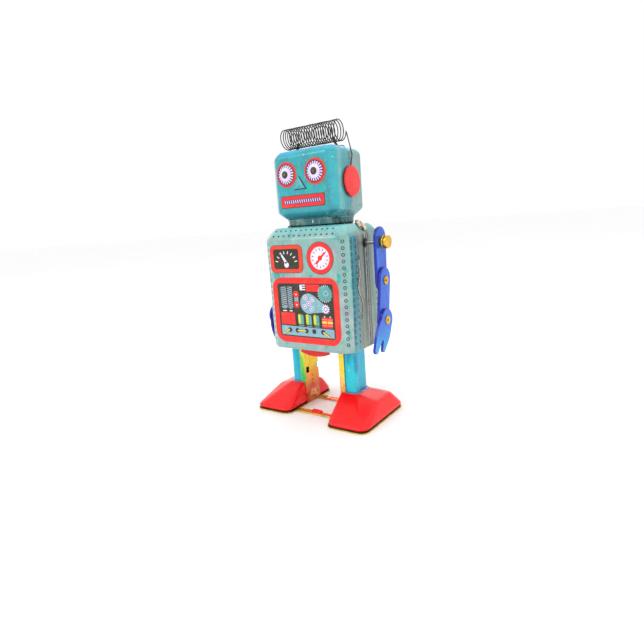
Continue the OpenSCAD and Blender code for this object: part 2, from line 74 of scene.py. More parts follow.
class Nodes:
    """Short names for building a node tree."""

    def __init__(self, mat):
        self.t = mat.node_tree
        self.out = self.t.nodes["Principled BSDF"]
        self.pos = self.t.nodes.new("ShaderNodeTexCoord").outputs["Object"]
        self.z = self.t.nodes.new("ShaderNodeSeparateXYZ")
        self.t.links.new(self.pos, self.z.inputs[0])

    def new(self, kind, inputs=(), **props):
        n = self.t.nodes.new(kind)
        for k, v in props.items():
            setattr(n, k, v)
        for k, v in dict(inputs).items():
            if isinstance(v, bpy.types.NodeSocket):
                self.t.links.new(v, n.inputs[k])
            else:
                n.inputs[k].default_value = v
        return n

    def noise(self, scale, detail=3.0, rough=0.55, stretch=(1, 1, 1), seed=0.0, twist=0.0):
        m = self.new("ShaderNodeMapping", {"Vector": self.pos, "Location": (seed, seed * 0.7, -seed)})
        m.inputs["Scale"].default_value = stretch
        m.inputs["Rotation"].default_value = (twist, twist, 0)
        n = self.new("ShaderNodeTexNoise", {"Vector": m.outputs[0], "Scale": scale, "Detail": detail,
                                            "Roughness": rough})
        return n.outputs["Fac"]

    def span(self, value, a, b, c=0.0, d=1.0):
        n = self.new("ShaderNodeMapRange",
            {"Value": value, "From Min": a, "From Max": b, "To Min": c, "To Max": d})
        n.interpolation_type = "SMOOTHSTEP"
        return n.outputs[0]

    def math(self, op, a, b=0.0):
        return self.new("ShaderNodeMath", {0: a, 1: b}, operation=op).outputs[0]

    def mix(self, fac, a, b, blend="MIX"):
        n = self.new("ShaderNodeMix", data_type="RGBA", blend_type=blend)
        for k, v in ((0, fac), (6, a), (7, b)):
            if isinstance(v, bpy.types.NodeSocket):
                self.t.links.new(v, n.inputs[k])
            else:
                n.inputs[k].default_value = v
        return n.outputs[2]

    def link(self, out, name):
        self.t.links.new(out, self.out.inputs[name])


EVEN = (1, 1, 1)
COAT_SHARE = 0.45  # how much of a finish's coat weight is used under these lights


def finish(name, base, patches=(), rough=(0.22, 0.4), metal=0.0, coat=0.5, bands=(), zones=(), zone_top=76,
           edge=None, flecks=None, dents=0.25, grain=0.15, brushed=None, speck=0.08):
    """A painted, printed or metal surface. Colours are 0 to 255, heights and depths are in millimetres.
    patches: (colour, scale, from, to), then a stretch and a twist where the marks are drawn out;
    bands: (colour, z from, z to, most);
    zones: (colour, y from, y to, most, streak colour), from the seam and below zone_top;
    edge: (colour, most) on raised edges; flecks: (colour, scale, threshold);
    brushed: (scale, stretch) of the brush marks."""
    mat = bpy.data.materials.new(name)
    mat.use_nodes = True
    n = Nodes(mat)
    seed = (sum(ord(c) for c in name) % 97) * 0.013
    colour = rgb(*base)
    for i, (tone, scale, lo, hi, *drawn) in enumerate(patches):
        stretch, twist = drawn + [EVEN, 0.0][len(drawn):]
        fac = n.span(n.noise(scale, 4.0, 0.6, stretch, seed + i * 0.31, twist), lo, hi)
        colour = n.mix(fac, colour, rgb(*tone))
    height, depth = n.z.outputs["Z"], n.z.outputs["Y"]
    for tone, z0, z1, most in bands:
        wobble = n.math("MULTIPLY", n.math("SUBTRACT", n.noise(90, 2.0, 0.5, (1, 1, 0.5), seed + 2), 0.5), 4 * MM)
        fac = n.span(n.math("ADD", height, wobble), z0 * MM, z1 * MM, 0.0, most)
        colour = n.mix(fac, colour, rgb(*tone))
    low = n.span(height, (zone_top + 1) * MM, (zone_top - 1) * MM)
    soft = 0.35 * MM
    for tone, y0, y1, most, streak in zones:
        fac = n.math("MULTIPLY", n.span(depth, SEAM + y0 * MM - soft, SEAM + y0 * MM + soft),
                     n.span(depth, SEAM + y1 * MM + soft, SEAM + y1 * MM - soft))
        line = n.span(n.noise(420, 3.0, 0.6, (1, 1, 0.06), seed + 9), 0.5, 0.62, 0.0, 0.8)
        fac = n.math("MULTIPLY", n.math("MULTIPLY", fac, low), most)
        colour = n.mix(fac, colour, n.mix(line, rgb(*tone), rgb(*streak)))
    shade = n.span(n.noise(260, 5.0, 0.65, EVEN, seed + 1), 0.3, 0.7, 1.0 - speck, 1.0 + speck)
    grey = n.new("ShaderNodeCombineColor", {0: shade, 1: shade, 2: shade}).outputs[0]
    colour = n.mix(1.0, colour, grey, "MULTIPLY")
    if edge:
        point = n.new("ShaderNodeNewGeometry").outputs["Pointiness"]
        worn = n.math("MULTIPLY", n.span(point, 0.52, 0.6, 0.0, edge[1]),
                      n.span(n.noise(500, 4.0, 0.7, EVEN, seed + 4), 0.4, 0.6))
        colour = n.mix(worn, colour, rgb(*edge[0]))
    if flecks:
        tone, scale, threshold = flecks
        spot = n.span(n.noise(scale, 2.0, 0.5, EVEN, seed + 5), threshold, threshold + 0.04)
        colour = n.mix(spot, colour, rgb(*tone))
    n.link(colour, "Base Color")
    scale, stretch = brushed or (180, EVEN)
    marks = n.noise(scale, 4.0, 0.6, stretch, seed + 3)
    n.link(n.span(marks, 0.3, 0.7, *rough), "Roughness")
    dent = n.new("ShaderNodeBump", {"Height": n.noise(70, 2.0, 0.5, EVEN, seed + 6), "Strength": dents,
                                    "Distance": 0.6 * MM})
    fine = n.new("ShaderNodeBump", {"Height": marks if brushed else n.noise(900, 3.0, 0.6, EVEN, seed + 7),
                                    "Strength": grain, "Distance": 0.05 * MM, "Normal": dent.outputs[0]})
    n.link(fine.outputs[0], "Normal")
    for socket, value in (("Metallic", metal), ("Coat Weight", coat * COAT_SHARE),
                          ("Specular IOR Level", 0.35), ("Coat Roughness", 0.06)):
        n.out.inputs[socket].default_value = value
    mat.diffuse_color = rgb(*base)
    return mat


def ink(name, colour, other):
    """Printing ink: one colour with soft patches of another."""
    return finish(f"ink_{name}", colour, [(other, 330, 0.5, 0.72, EVEN, 0.4)], rough=(0.25, 0.42), coat=0.45,
                  dents=0.15, grain=0.1, speck=0.06)


SLANT = (1.0, 1.0, 0.45)
print_front = finish("print_front", (136, 178, 172),
    [((172, 190, 188), 150, 0.48, 0.68, SLANT, 0.6), ((52, 165, 158), 210, 0.53, 0.66, SLANT, 0.7),
        ((166, 158, 176), 190, 0.58, 0.7, SLANT, -0.5), ((96, 176, 196), 260, 0.6, 0.7, SLANT, 0.9)],
    # the second band is a painted highlight along the shoulder slope
    bands=[((150, 165, 165), 33, 28, 0.5), ((120, 205, 205), 75.2, 79, 0.75)],
    zones=[((44, 146, 164), -12.0, -7.0, 0.75, (100, 178, 180)),
        ((140, 150, 136), -7.0, 1.0, 0.88, (84, 92, 84))], edge=((205, 214, 206), 0.7), rough=(0.2, 0.36),
    metal=0.35, coat=0.7)
print_back = finish("print_back", (70, 150, 150),
    [((128, 160, 150), 120, 0.45, 0.65, (1, 1, 0.16)), ((22, 110, 112), 150, 0.52, 0.66, (1, 1, 0.2), 0.1),
        ((170, 178, 170), 200, 0.6, 0.7, (1, 1, 0.18))],
    # the second band is a painted highlight along the shoulder slope
    bands=[((28, 104, 104), 44, 29, 0.6), ((126, 200, 200), 75.2, 79, 0.7)],
    # the first zone is painted shade along the seam between the halves, with brown streaks
    zones=[((52, 60, 56), -1.0, 2.8, 0.9, (112, 92, 80)), ((150, 168, 156), 2.8, 9.0, 0.8, (106, 128, 120))],
    edge=((190, 200, 190), 0.6), rough=(0.16, 0.32), metal=0.45, coat=0.7)
head_paint = finish("head_paint", (52, 166, 178),
    [((60, 150, 160), 140, 0.45, 0.65, SLANT, 0.5), ((40, 178, 170), 200, 0.55, 0.68, SLANT, 0.7),
        ((96, 170, 190), 230, 0.6, 0.7, SLANT, 0.3)],
    # first band: painted shade on the lower bevel; second band: painted highlight along the top bevel
    bands=[((44, 128, 146), 88, 83, 0.8), ((40, 176, 218), 106.8, 109, 0.85)],
    zones=[((120, 186, 186), -9.0, -5.2, 0.7, (70, 168, 172)),
        ((88, 150, 156), -5.2, -0.9, 0.6, (60, 164, 168)), ((40, 62, 62), -0.7, 1.0, 0.85, (80, 96, 90))],
    zone_top=108, edge=((170, 214, 214), 0.6), flecks=((196, 200, 140), 700, 0.71), rough=(0.2, 0.34),
    metal=0.3, coat=0.7)
head_rear = finish("head_rear", (132, 166, 164),
    [((84, 158, 160), 130, 0.48, 0.64, (1, 1, 0.18)),
        ((170, 180, 176), 150, 0.55, 0.68, (1, 1, 0.2), 0.1)],
    # first band: painted shade on the lower bevel; second band: painted highlight along the top bevel
    bands=[((90, 150, 150), 88, 83, 0.6), ((60, 176, 206), 106.8, 109, 0.7)],
    zones=[((40, 62, 62), -1.0, 0.3, 0.85, (80, 96, 90))], zone_top=108, edge=((200, 206, 200), 0.6),
    rough=(0.18, 0.34), metal=0.4, coat=0.7)
neck_paint = finish("neck_paint", (56, 116, 120),
    [((118, 150, 140), 260, 0.5, 0.65, (1, 1, 0.3)), ((28, 66, 72), 200, 0.52, 0.66, (1, 1, 0.3))],
    # the band is painted shade where the neck meets the shoulders
    bands=[((14, 34, 38), 80.6, 79.6, 0.9)], metal=0.4, rough=(0.2, 0.4), edge=((180, 190, 180), 0.5))
ink_red = ink("red", (236, 36, 34), (240, 62, 36))
ink_orange = ink("orange", (238, 62, 34), (226, 30, 40))
ink_lilac = ink("lilac", (226, 208, 244), (238, 226, 250))
ink_ring = ink("ring", (206, 24, 48), (226, 52, 44))
ink_rim = ink("rim", (220, 92, 40), (196, 60, 44))
ink_hose = ink("hose", (150, 148, 134), (186, 180, 166))
ink_shine = ink("shine", (214, 200, 190), (230, 222, 214))
ink_olive = ink("olive", (96, 88, 44), (120, 108, 60))
ink_violet = ink("violet", (64, 40, 104), (84, 58, 128))
ink_dark = ink("dark", (44, 44, 26), (62, 58, 34))
ink_line = ink("line", (40, 44, 48), (72, 52, 78))
ink_white = ink("white", (236, 224, 244), (246, 240, 250))
ink_grey = ink("grey", (140, 164, 172), (164, 180, 190))
ink_sky = ink("sky", (128, 176, 188), (150, 190, 198))
ink_teal = ink("teal", (84, 160, 158), (112, 176, 170))
ink_yellow = ink("yellow", (238, 210, 70), (250, 226, 110))
ink_green = ink("green", (178, 200, 46), (206, 214, 80))
ink_pink = ink("pink", (244, 132, 140), (248, 160, 150))
ink_purple = ink("purple", (108, 78, 146), (132, 100, 170))
ear_paint = finish("ear_paint", (236, 4, 8), [((244, 16, 16), 130, 0.5, 0.7)], edge=((250, 120, 100), 0.35),
    rough=(0.2, 0.3), coat=0.8, speck=0.04, dents=0.12)
# a darker red for the disc's edge: painted shade on the rim
ear_rim = finish("ear_rim", (120, 18, 22), [((60, 12, 16), 200, 0.45, 0.6)])
wire_metal = finish("wire_metal", (62, 60, 62),
    [((112, 104, 98), 420, 0.5, 0.65), ((30, 30, 34), 300, 0.55, 0.65)], metal=0.85, coat=0.0,
    rough=(0.28, 0.5), dents=0.0)
gold = finish("gold", (246, 208, 24),
    [((255, 228, 50), 140, 0.5, 0.66, (1, 1, 0.3)), ((240, 184, 24), 180, 0.56, 0.68, (1, 1, 0.3), 0.2)],
    # the bands are a painted reflection of the red feet, orange to red towards the bottom
    bands=[((240, 130, 30), 19, 13, 0.8), ((206, 40, 28), 13, 7, 0.85), ((170, 40, 28), 5, 1, 0.6)],
    flecks=((150, 104, 36), 700, 0.76), metal=0.45, rough=(0.18, 0.34), edge=((255, 236, 160), 0.6))
# gold tin tinted green: a painted green reflection, used for the right leg's strip
green_gold = finish("green_gold", (120, 206, 70),
    [((216, 222, 80), 150, 0.5, 0.62, (1, 1, 0.25)), ((60, 190, 90), 190, 0.55, 0.66, (1, 1, 0.3))],
    bands=[((208, 200, 84), 24, 30, 0.6), ((150, 120, 60), 9, 2, 0.8)], metal=0.55, rough=(0.2, 0.34))
sole_gold = finish("sole_gold", (206, 172, 62),
    [((236, 200, 84), 170, 0.48, 0.64, EVEN, 0.3), ((150, 122, 44), 220, 0.55, 0.68, EVEN, 0.1)],
    metal=0.75, coat=0.4, rough=(0.2, 0.4), edge=((250, 230, 150), 0.6), flecks=((110, 60, 30), 600, 0.7))
bar_gold = finish("bar_gold", (226, 176, 60),
    [((226, 84, 44), 110, 0.48, 0.6, (1.5, 1, 1)), ((170, 190, 70), 160, 0.56, 0.66, (1.6, 1, 1), 0.2)],
    metal=0.7, coat=0.4, rough=(0.18, 0.36), edge=((250, 226, 150), 0.5))
foot_paint = finish("foot_paint", (242, 6, 10), [((248, 22, 20), 120, 0.45, 0.7)], edge=((255, 70, 60), 0.2),
    rough=(0.24, 0.36), coat=0.35, speck=0.03, dents=0.15, grain=0.06)
# a painted shadow for the groove between foot and sole
gap_dark = finish("gap_dark", (52, 24, 16), [((24, 12, 10), 300, 0.4, 0.6)], coat=0.1, rough=(0.4, 0.6))
leg_paint = finish("leg_paint", (14, 172, 204),
    [((30, 200, 216), 110, 0.46, 0.66, (1, 1, 0.22)), ((8, 140, 182), 160, 0.55, 0.68, (1, 1, 0.25))],
    bands=[((56, 140, 170), 14, 9, 0.5)], edge=((170, 228, 234), 0.5), metal=0.3, rough=(0.2, 0.34), coat=0.7,
    flecks=((150, 210, 214), 640, 0.72))
flange_paint = finish("flange_paint", (142, 132, 176), [((176, 160, 200), 240, 0.5, 0.65)], metal=0.3)
arm_paint = finish("arm_paint", (6, 92, 206),
    [((8, 132, 232), 120, 0.48, 0.66, (1, 1, 0.4), 0.3), ((8, 66, 196), 150, 0.54, 0.68, (1, 1, 0.4), -0.2)],
    bands=[((10, 170, 226), 42, 30, 0.7)], edge=((60, 140, 236), 0.3), metal=0.2, rough=(0.2, 0.34), coat=0.7)
arm_rim = finish("arm_rim", (40, 34, 160),
    [((60, 46, 176), 170, 0.5, 0.66, (1, 1, 0.4)), ((30, 34, 140), 200, 0.55, 0.66, (1, 1, 0.4))],
    metal=0.2, rough=(0.2, 0.36), coat=0.6, edge=((90, 110, 220), 0.3))
brass = finish("brass", (228, 178, 62), [((246, 208, 110), 240, 0.5, 0.66), ((160, 110, 34), 300, 0.58, 0.68)],
    metal=0.95, coat=0.2, rough=(0.2, 0.38), brushed=(900, (0.15, 1, 1)), dents=0.05)
gear_brass = finish("gear_brass", (214, 170, 74),
    [((236, 200, 110), 240, 0.5, 0.66), ((130, 96, 44), 320, 0.58, 0.7)], metal=0.95, coat=0.0,
    rough=(0.26, 0.44), brushed=(700, (1, 0.15, 1)), dents=0.05)
steel = finish("steel", (176, 178, 182), [((204, 206, 208), 260, 0.5, 0.64), ((112, 108, 104), 300, 0.6, 0.7)],
    metal=1.0, coat=0.0, brushed=(800, (0.12, 1, 1)), dents=0.0)
spring_steel = finish("spring_steel", (70, 78, 96), [((104, 96, 120), 260, 0.5, 0.66)], metal=0.95, coat=0.0,
    rough=(0.25, 0.42), dents=0.0)
nickel = finish("nickel", (158, 156, 152),
    [((184, 182, 178), 200, 0.5, 0.65), ((150, 140, 124), 260, 0.6, 0.7)], metal=1.0, coat=0.0,
    rough=(0.14, 0.3), edge=((250, 250, 245), 0.4), dents=0.1)
bare_tin = finish("bare_tin", (226, 200, 172),
    [((240, 222, 200), 260, 0.5, 0.64), ((120, 96, 84), 320, 0.58, 0.7)], metal=0.5, coat=0.1,
    edge=((250, 240, 225), 0.5))
# dark metal for eyelets and slots, also used as painted shade on the coil clips and under the shoulder tabs
clip_metal = finish("clip_metal", (60, 54, 46), [((110, 96, 80), 340, 0.5, 0.64)], metal=0.8, coat=0.1,
    rough=(0.3, 0.5))
plate_tin = finish("plate_tin", (196, 182, 134),
    [((214, 204, 164), 160, 0.5, 0.64, (1, 1, 0.3)), ((140, 124, 84), 240, 0.58, 0.7)], metal=0.9,
    coat=0.1, rough=(0.24, 0.42), brushed=(600, (1, 1, 0.12)))
red_plastic = finish("red_plastic", (232, 34, 30), [((244, 56, 44), 140, 0.5, 0.66)], rough=(0.26, 0.38),
    coat=0.3, dents=0.1, speck=0.03)


# ---------- geometry ----------
def around(n):
    """n angles evenly round a circle."""
    return [2 * pi * k / n for k in range(n)]


class Shape:
    """Collects corners in millimetres and faces with a material number each."""

    def __init__(self):
        self.v, self.f, self.m = [], [], []

    def ring(self, pts):
        start = len(self.v)
        self.v += [tuple(p) for p in pts]
        return list(range(start, start + len(pts)))

    def face(self, idx, mat=0):
        if len(set(idx)) > 2:
            self.f.append(list(idx))
            self.m.append(mat)

    def bridge(self, a, b, mat=0, closed=True):
        n = len(a)
        for i in range(n if closed else n - 1):
            j = (i + 1) % n
            self.face([a[i], a[j], b[j], b[i]], mat)

    def loft(self, rings, mats=0, closed=True, caps=(False, False)):
        """Joins rings of equal length. mats is one material number, or one for each stretch."""
        if not isinstance(mats, (list, tuple)):
            mats = [mats] * (len(rings) - 1)
        ids = [self.ring(r) for r in rings]
        for k, mat in enumerate(mats):
            self.bridge(ids[k], ids[k + 1], mat, closed)
        if caps[0]:
            self.face(ids[0][::-1], mats[0])
        if caps[1]:
            self.face(ids[-1], mats[-1])

    def solid(self, rings, mats=0):
        self.loft(rings, mats, True, (True, True))

    def lathe(self, profile, centre, axis, n=48, mats=0, caps=(True, True)):
        """profile is (radius, height) along axis, which is along x or y, from centre."""
        w = Vector(axis)
        u = Vector((0, 0, 1) if w.x else (1, 0, 0))
        t = w.cross(u)
        rings = [[Vector(centre) + w * h + (u * cos(a) + t * sin(a)) * r for a in around(n)] for r, h in profile]
        self.loft(rings, mats, True, caps)

    def tube(self, pts, radius, n):
        pts = [Vector(p) for p in pts]
        rings, side = [], None
        for i, p in enumerate(pts):
            d = (pts[min(i + 1, len(pts) - 1)] - pts[max(i - 1, 0)]).normalized()
            side = (side - d * side.dot(d)).normalized() if side else d.orthogonal().normalized()
            up = d.cross(side)
            rings.append([p + (side * cos(a) + up * sin(a)) * radius for a in around(n)])
        self.solid(rings)

    def prism(self, pts, at, lo, hi, top=0, wall=0):
        """A flat shape: pts in two coordinates, placed by at(u, v, lift) between two lifts."""
        a = self.ring([at(u, v, lo) for u, v in pts])
        b = self.ring([at(u, v, hi) for u, v in pts])
        self.bridge(a, b, wall)
        self.face(b, top)
        self.face(a[::-1], wall)

    def band(self, outer, inner, at, lo, hi, top=0, wall=0):
        rows = [self.ring([at(u, v, h) for u, v in pts])
                for pts, h in ((outer, lo), (outer, hi), (inner, hi), (inner, lo))]
        for k, m in enumerate((wall, top, wall)):
            self.bridge(rows[k], rows[k + 1], m)


def piece(name, shape, mats, body, slot, swaps=(), crisp=38, bevel=0.0, thick=0.0, segments=2, inside=None):
    """Makes the shape an object that rides on a CAD body and stands for the CAD nodes in swaps.
    crisp: the angle over which an edge stays sharp; inside: a point that an open sheet's faces look away from."""
    mesh = bpy.data.meshes.new(name)
    mesh.from_pydata([P(*v) for v in shape.v], [], shape.f)
    mats = mats if isinstance(mats, (list, tuple)) else [mats]
    for m in mats:
        mesh.materials.append(m)
    for poly, m in zip(mesh.polygons, shape.m):
        poly.material_index = m
    bm = bmesh.new()
    bm.from_mesh(mesh)
    bmesh.ops.remove_doubles(bm, verts=bm.verts, dist=2e-7)
    bmesh.ops.dissolve_degenerate(bm, edges=bm.edges, dist=1e-7)
    bmesh.ops.recalc_face_normals(bm, faces=bm.faces)
    if inside is not None:
        hub = P(*inside)
        out = sum((f.calc_area() * f.normal.dot(f.calc_center_median() - hub) for f in bm.faces))
        if out < 0:
            bmesh.ops.reverse_faces(bm, faces=bm.faces)
    for f in bm.faces:
        f.smooth = True
    if not bevel:
        for e in bm.edges:
            if len(e.link_faces) == 2 and e.calc_face_angle(0) > radians(crisp):
                e.smooth = False
    bm.to_mesh(mesh)
    bm.free()
    obj = bpy.data.objects.new(name, mesh)
    bpy.context.scene.collection.objects.link(obj)
    if thick:
        s = obj.modifiers.new("sheet", "SOLIDIFY")
        s.thickness = thick * MM
        s.offset = -1.0
    if bevel:
        b = obj.modifiers.new("edge", "BEVEL")
        b.width = bevel * MM
        b.segments = segments
        b.limit_method = "ANGLE"
        b.angle_limit = radians(32)
        w = obj.modifiers.new("normals", "WEIGHTED_NORMAL")
        w.keep_sharp = True
    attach(obj, body)
    if swaps:
        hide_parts(*swaps)


def corner_round(path, radii, n=4):
    """Rounds the inner corners of an open path."""
    pts = [Vector(path[0])]
    for i in range(1, len(path) - 1):
        p, a, b = Vector(path[i]), Vector(path[i - 1]), Vector(path[i + 1])
        da, db = (a - p), (b - p)
        turn = pi - da.angle(db)
        t = min(radii * tan(turn / 2), da.length * 0.45, db.length * 0.45)
        p0, p2 = p + da.normalized() * t, p + db.normalized() * t
        for k in range(n + 1):
            s = k / n
            pts.append(p0 * (1 - s) ** 2 + p * 2 * s * (1 - s) + p2 * s * s)
    pts.append(Vector(path[-1]))
    return pts


def refine(pts, reach):
    """Adds evenly spaced points to stretches longer than reach."""
    out = [pts[0]]
    for a, b in zip(pts, pts[1:]):
        k = int((b - a).length / reach + 1)
        out += [a.lerp(b, (i + 1) / k) for i in range(k)]
    return out


def half_ring(w, d, cx, cy, r, z, side, lip=0.0):
    """Half the outline of a box with chamfered, softened corners: from the left seam
    round to the right one. lip turns the edge at the seam outwards."""
    hw, hd = w / 2, d / 2
    path = [(hw, 0), (hw, hd - cy), (hw - cx, hd), (cx - hw, hd), (-hw, hd - cy), (-hw, 0)]
    body = corner_round(path, r)
    counts = {0: 5, 5: 3, 10: 16, 15: 3, 20: 5}  # pieces that the straight stretches are cut into
    out = []
    for i in range(len(body) - 1):
        k = counts.get(i, 1)
        out += [body[i].lerp(body[i + 1], j / k) for j in range(k)]
    out.append(body[-1])
    pts = []
    for p in out:
        near = max(0.0, min(1.0, (1.15 - p.y) / 0.2)) * lip
        pts.append((p.x + copysign(near, p.x), p.y * side, z))
    e = [(copysign(hw + lip, s), side * 0.9 * min(1, hd), z) for s in (1, -1)]
    f = [(copysign(hw, s), side * 1.1 * min(1, hd), z) for s in (1, -1)]
    return [pts[0], e[0], f[0]] + pts[1:-1] + [f[1], e[1], pts[-1]]


def rounded(x0, z0, x1, z1, r, n=5):
    """A box outline with round corners."""
    pts = []
    for cx, cz, a in ((x1 - r, z1 - r, 0), (x0 + r, z1 - r, 90), (x0 + r, z0 + r, 180), (x1 - r, z0 + r, 270)):
        for k in range(n + 1):
            pts.append(polar(cx, cz, r, radians(a + 90 * k / n)))
    return pts


def rectangle(x0, z0, x1, z1):
    return [(x0, z0), (x1, z0), (x1, z1), (x0, z1)]


def polar(cx, cz, r, t):
    return (cx + r * cos(t), cz + r * sin(t))


def circle(cx, cz, r, n=32, squash=1.0):
    return [(cx + r * cos(a), cz + r * squash * sin(a)) for a in around(n)]


def stroke(a, b, w):
    """A straight line of width w."""
    a, b = Vector(a), Vector(b)
    d = (b - a).normalized()
    q = Vector((-d.y, d.x)) * w / 2
    return [tuple(p) for p in (a + q, a - q, b - q, b + q)]


INK_STEP = 0.025  # height of one layer of ink
INK_ROOT = -0.02  # how far each film reaches into the tin


class Artwork(Shape):
    """Printed areas on the surface at(u, v, lift): thin films of ink, stacked by level."""

    def __init__(self, at):
        super().__init__()
        self.at, self.inks = at, []

    def number(self, mat):
        if mat not in self.inks:
            self.inks.append(mat)
        return self.inks.index(mat)

    def block(self, pts, lo, hi, mat, wall=None):
        self.prism(pts, self.at, lo, hi, self.number(mat), self.number(wall or mat))

    def area(self, pts, mat, level=1):
        self.block(pts, INK_ROOT, level * INK_STEP, mat)

    def hoop(self, outer, inner, mat, level=1):
        m = self.number(mat)
        self.band(outer, inner, self.at, INK_ROOT, level * INK_STEP, m, m)

    def slab(self, x0, z0, x1, z1, mat, level=1):
        self.area(rectangle(x0, z0, x1, z1), mat, level)

    def dot(self, x, z, r, mat, level=1, n=24):
        self.area(circle(x, z, r, n), mat, level)

    def circle_line(self, x, z, r, w, mat, level=1, n=32):
        self.hoop(circle(x, z, r + w / 2, n), circle(x, z, r - w / 2, n), mat, level)

    def tooth(self, x, z, t, root, tip, back, ahead, mat, level):
        """One pointed tooth at angle t of a wheel."""
        self.area([polar(x, z, root, t - back), polar(x, z, tip, t), polar(x, z, root, t + ahead)], mat, level)


def printed(name, art, slot="body_print", **more):
    piece(name, art, art.inks, "torso", slot, **more)


# ---------- body ----------
BODY_W, BODY_D = 2 * body_side, -2 * body_front


def body_ring(inset, z, side, lip=0.14):
    cut = 1 - inset / 14
    return half_ring(BODY_W - 2 * inset, BODY_D - 2 * inset, 4.2 * cut, 3.0 * cut, 1.5, z, side, lip)


def body_half(side):
    s = Shape()
    rings = [body_ring(i, z, side, lip) for i, z, lip in (
        (1.5, 29.4, 0), (0.5, 29.02, 0.05), (0.14, 29.05, 0.14), (0.0, 29.35, 0.14), (0.0, 30.4, 0.14))]
    rings += [body_ring(0.0, 30.4 + 4.35 * k, side) for k in range(1, 11)]
    rings += [body_ring(i, z, side) for i, z in (
        (0.02, 74.5), (0.12, 75.0), (0.4, 75.5), (0.95, 76.3), (1.55, 77.2),
                                                 (2.3, 78.2), (2.95, 79.0), (3.3, 79.35), (3.75, 79.56))]
    rings += [body_ring(4.4, body_top, side, 0.0)]
    rings += [half_ring(25.0, 16.0, 2.2, 2.2, 1.0, body_top, side)]
    s.loft(rings, 0, closed=False)
    return s


piece("body_front_tin", body_half(-1), print_front, "torso", "body_print", ["body_front_shell"], thick=0.4,
      inside=(0, 3, 50))
piece("body_back_tin", body_half(1), print_back, "torso", "body_back_print", ["body_back_shell"], thick=0.4,
      inside=(0, -3, 50))


def on_front(x, z, lift):
    return (x, body_front - lift, z)


CREASE_A, CREASE_B = Vector((body_side - 4.2, body_front)), Vector((body_side, body_front + 3.0))
FACET = (CREASE_B - CREASE_A).normalized()


def on_facet(side, half):
    """The chamfer between the front (half 1) or back (half -1) and a side."""
    def at(u, z, lift):
        q = CREASE_A + FACET * u + Vector((-FACET.y, FACET.x)) * -lift
        return (side * q.x, half * q.y, z)
    return at


def on_side(side):
    return lambda y, z, lift: (side * (body_side + lift), y, z)


# way up the slope, depth and height of the shoulder's slope, as body_half() has it
SLOPE = [(v, BODY_D / 2 - inset, z) for v, inset, z in (
    (0, 0.12, 75.0), (1.1, 0.95, 76.3), (2.2, 1.55, 77.2), (3.4, 2.3, 78.2), (4.5, 2.95, 79.0))]


def on_bevel(half):
    """The sloping edge between the front or back and the shoulders; v runs up the slope."""
    def at(x, v, lift):
        for (v0, y0, z0), (v1, y1, z1) in zip(SLOPE, SLOPE[1:]):
            if v <= v1:
                f = (v - v0) / (v1 - v0)
                return (x, -half * (y0 + (y1 - y0) * f + lift * 0.75), z0 + (z1 - z0) * f + lift * 0.66)
    return at


def rivet_ring(art, x, z, r):
    art.circle_line(x, z, r * 0.76, r * 0.42, ink_line, 1, 20)
    art.dot(x, z, r * 0.3, ink_sky, 2, 12)


for half, label in ((1, "front"), (-1, "back")):
    for side, hand in SIDES:
        a = Artwork(on_facet(side, half))
        for k in range(17):
            rivet_ring(a, 2.55, 73.2 - 2.54 * k, 0.72)
        printed(f"rivet_print_{label}_{hand}", a)
        a = Artwork(on_side(side))
        for k in range(17):
            z = 73.0 - 2.53 * k
            rivet_ring(a, half * -11.1, z, 0.68)
            a.area(circle(half * -7.8, z + 0.2, 0.34, 12, 1.5), ink_line)
        printed(f"side_rivet_print_{label}_{hand}", a)
    a = Artwork(on_bevel(half))
    for row, v in enumerate((1.15, 3.5)):
        for k in range(12):
            a.area(circle(-14.6 + 0.5 * row + (29.2 - row) * k / 11, v, 0.44, 14, 0.8), ink_line)
    printed(f"shoulder_dots_{label}", a)

# rectangular gauge
g = Artwork(on_front)
g.hoop(rounded(-16.35, 61.5, 0.1, 72.6, 2.3), rounded(-14.7, 63.0, -1.75, 71.15, 0.9), ink_orange, 3)
g.hoop(rounded(-16.55, 61.3, 0.3, 72.8, 2.5), rounded(-16.3, 61.55, 0.05, 72.55, 2.25), ink_line)
g.area(rounded(-14.9, 62.8, -1.55, 71.3, 1.0), ink_dark)
for k in range(8):
    t = radians(166 - 152 * k / 7)
    c, s = cos(t), sin(t)
    g.area(stroke((-8.2 + 4.4 * c, 65.0 + 4.2 * s), (-8.2 + 5.8 * c, 65.0 + 5.3 * s), 0.42), ink_white, 2)
g.area([(-8.9, 65.2), (-7.55, 65.6), (-10.9, 69.9), (-11.35, 69.6)], ink_white, 2)
g.dot(-8.2, 64.75, 1.2, ink_white, 2)
printed("gauge_rectangular", g)

# round gauge
g = Artwork(on_front)
gx, gz = 8.6, 67.15
g.hoop(circle(gx, gz, 6.2, 64), circle(gx, gz, 4.6, 64), ink_red, 3)
g.hoop(circle(gx, gz, 6.4, 64), circle(gx, gz, 6.15, 64), ink_line)
g.hoop(circle(gx, gz, 4.7, 64), circle(gx, gz, 4.5, 64), ink_orange, 4)
g.dot(gx, gz, 4.7, ink_white, 1, 64)
for k in range(14):
    t = 2 * pi * (k + 0.5) / 14
    g.area(stroke(polar(gx, gz, 3.05, t), polar(gx, gz, 3.95, t), 0.32), ink_purple, 2)
g.area(stroke((gx - 1.9, gz - 2.2), (gx + 2.4, gz + 2.2), 0.85), ink_red, 2)
g.area([(gx - 2.3, gz - 2.0), (gx - 1.5, gz - 2.75), (gx - 0.9, gz - 1.6), (gx - 1.6, gz - 0.9)], ink_red, 3)
g.dot(gx, gz, 1.0, ink_red, 3)
g.dot(gx, gz, 0.35, ink_orange, 4)
printed("gauge_round", g)

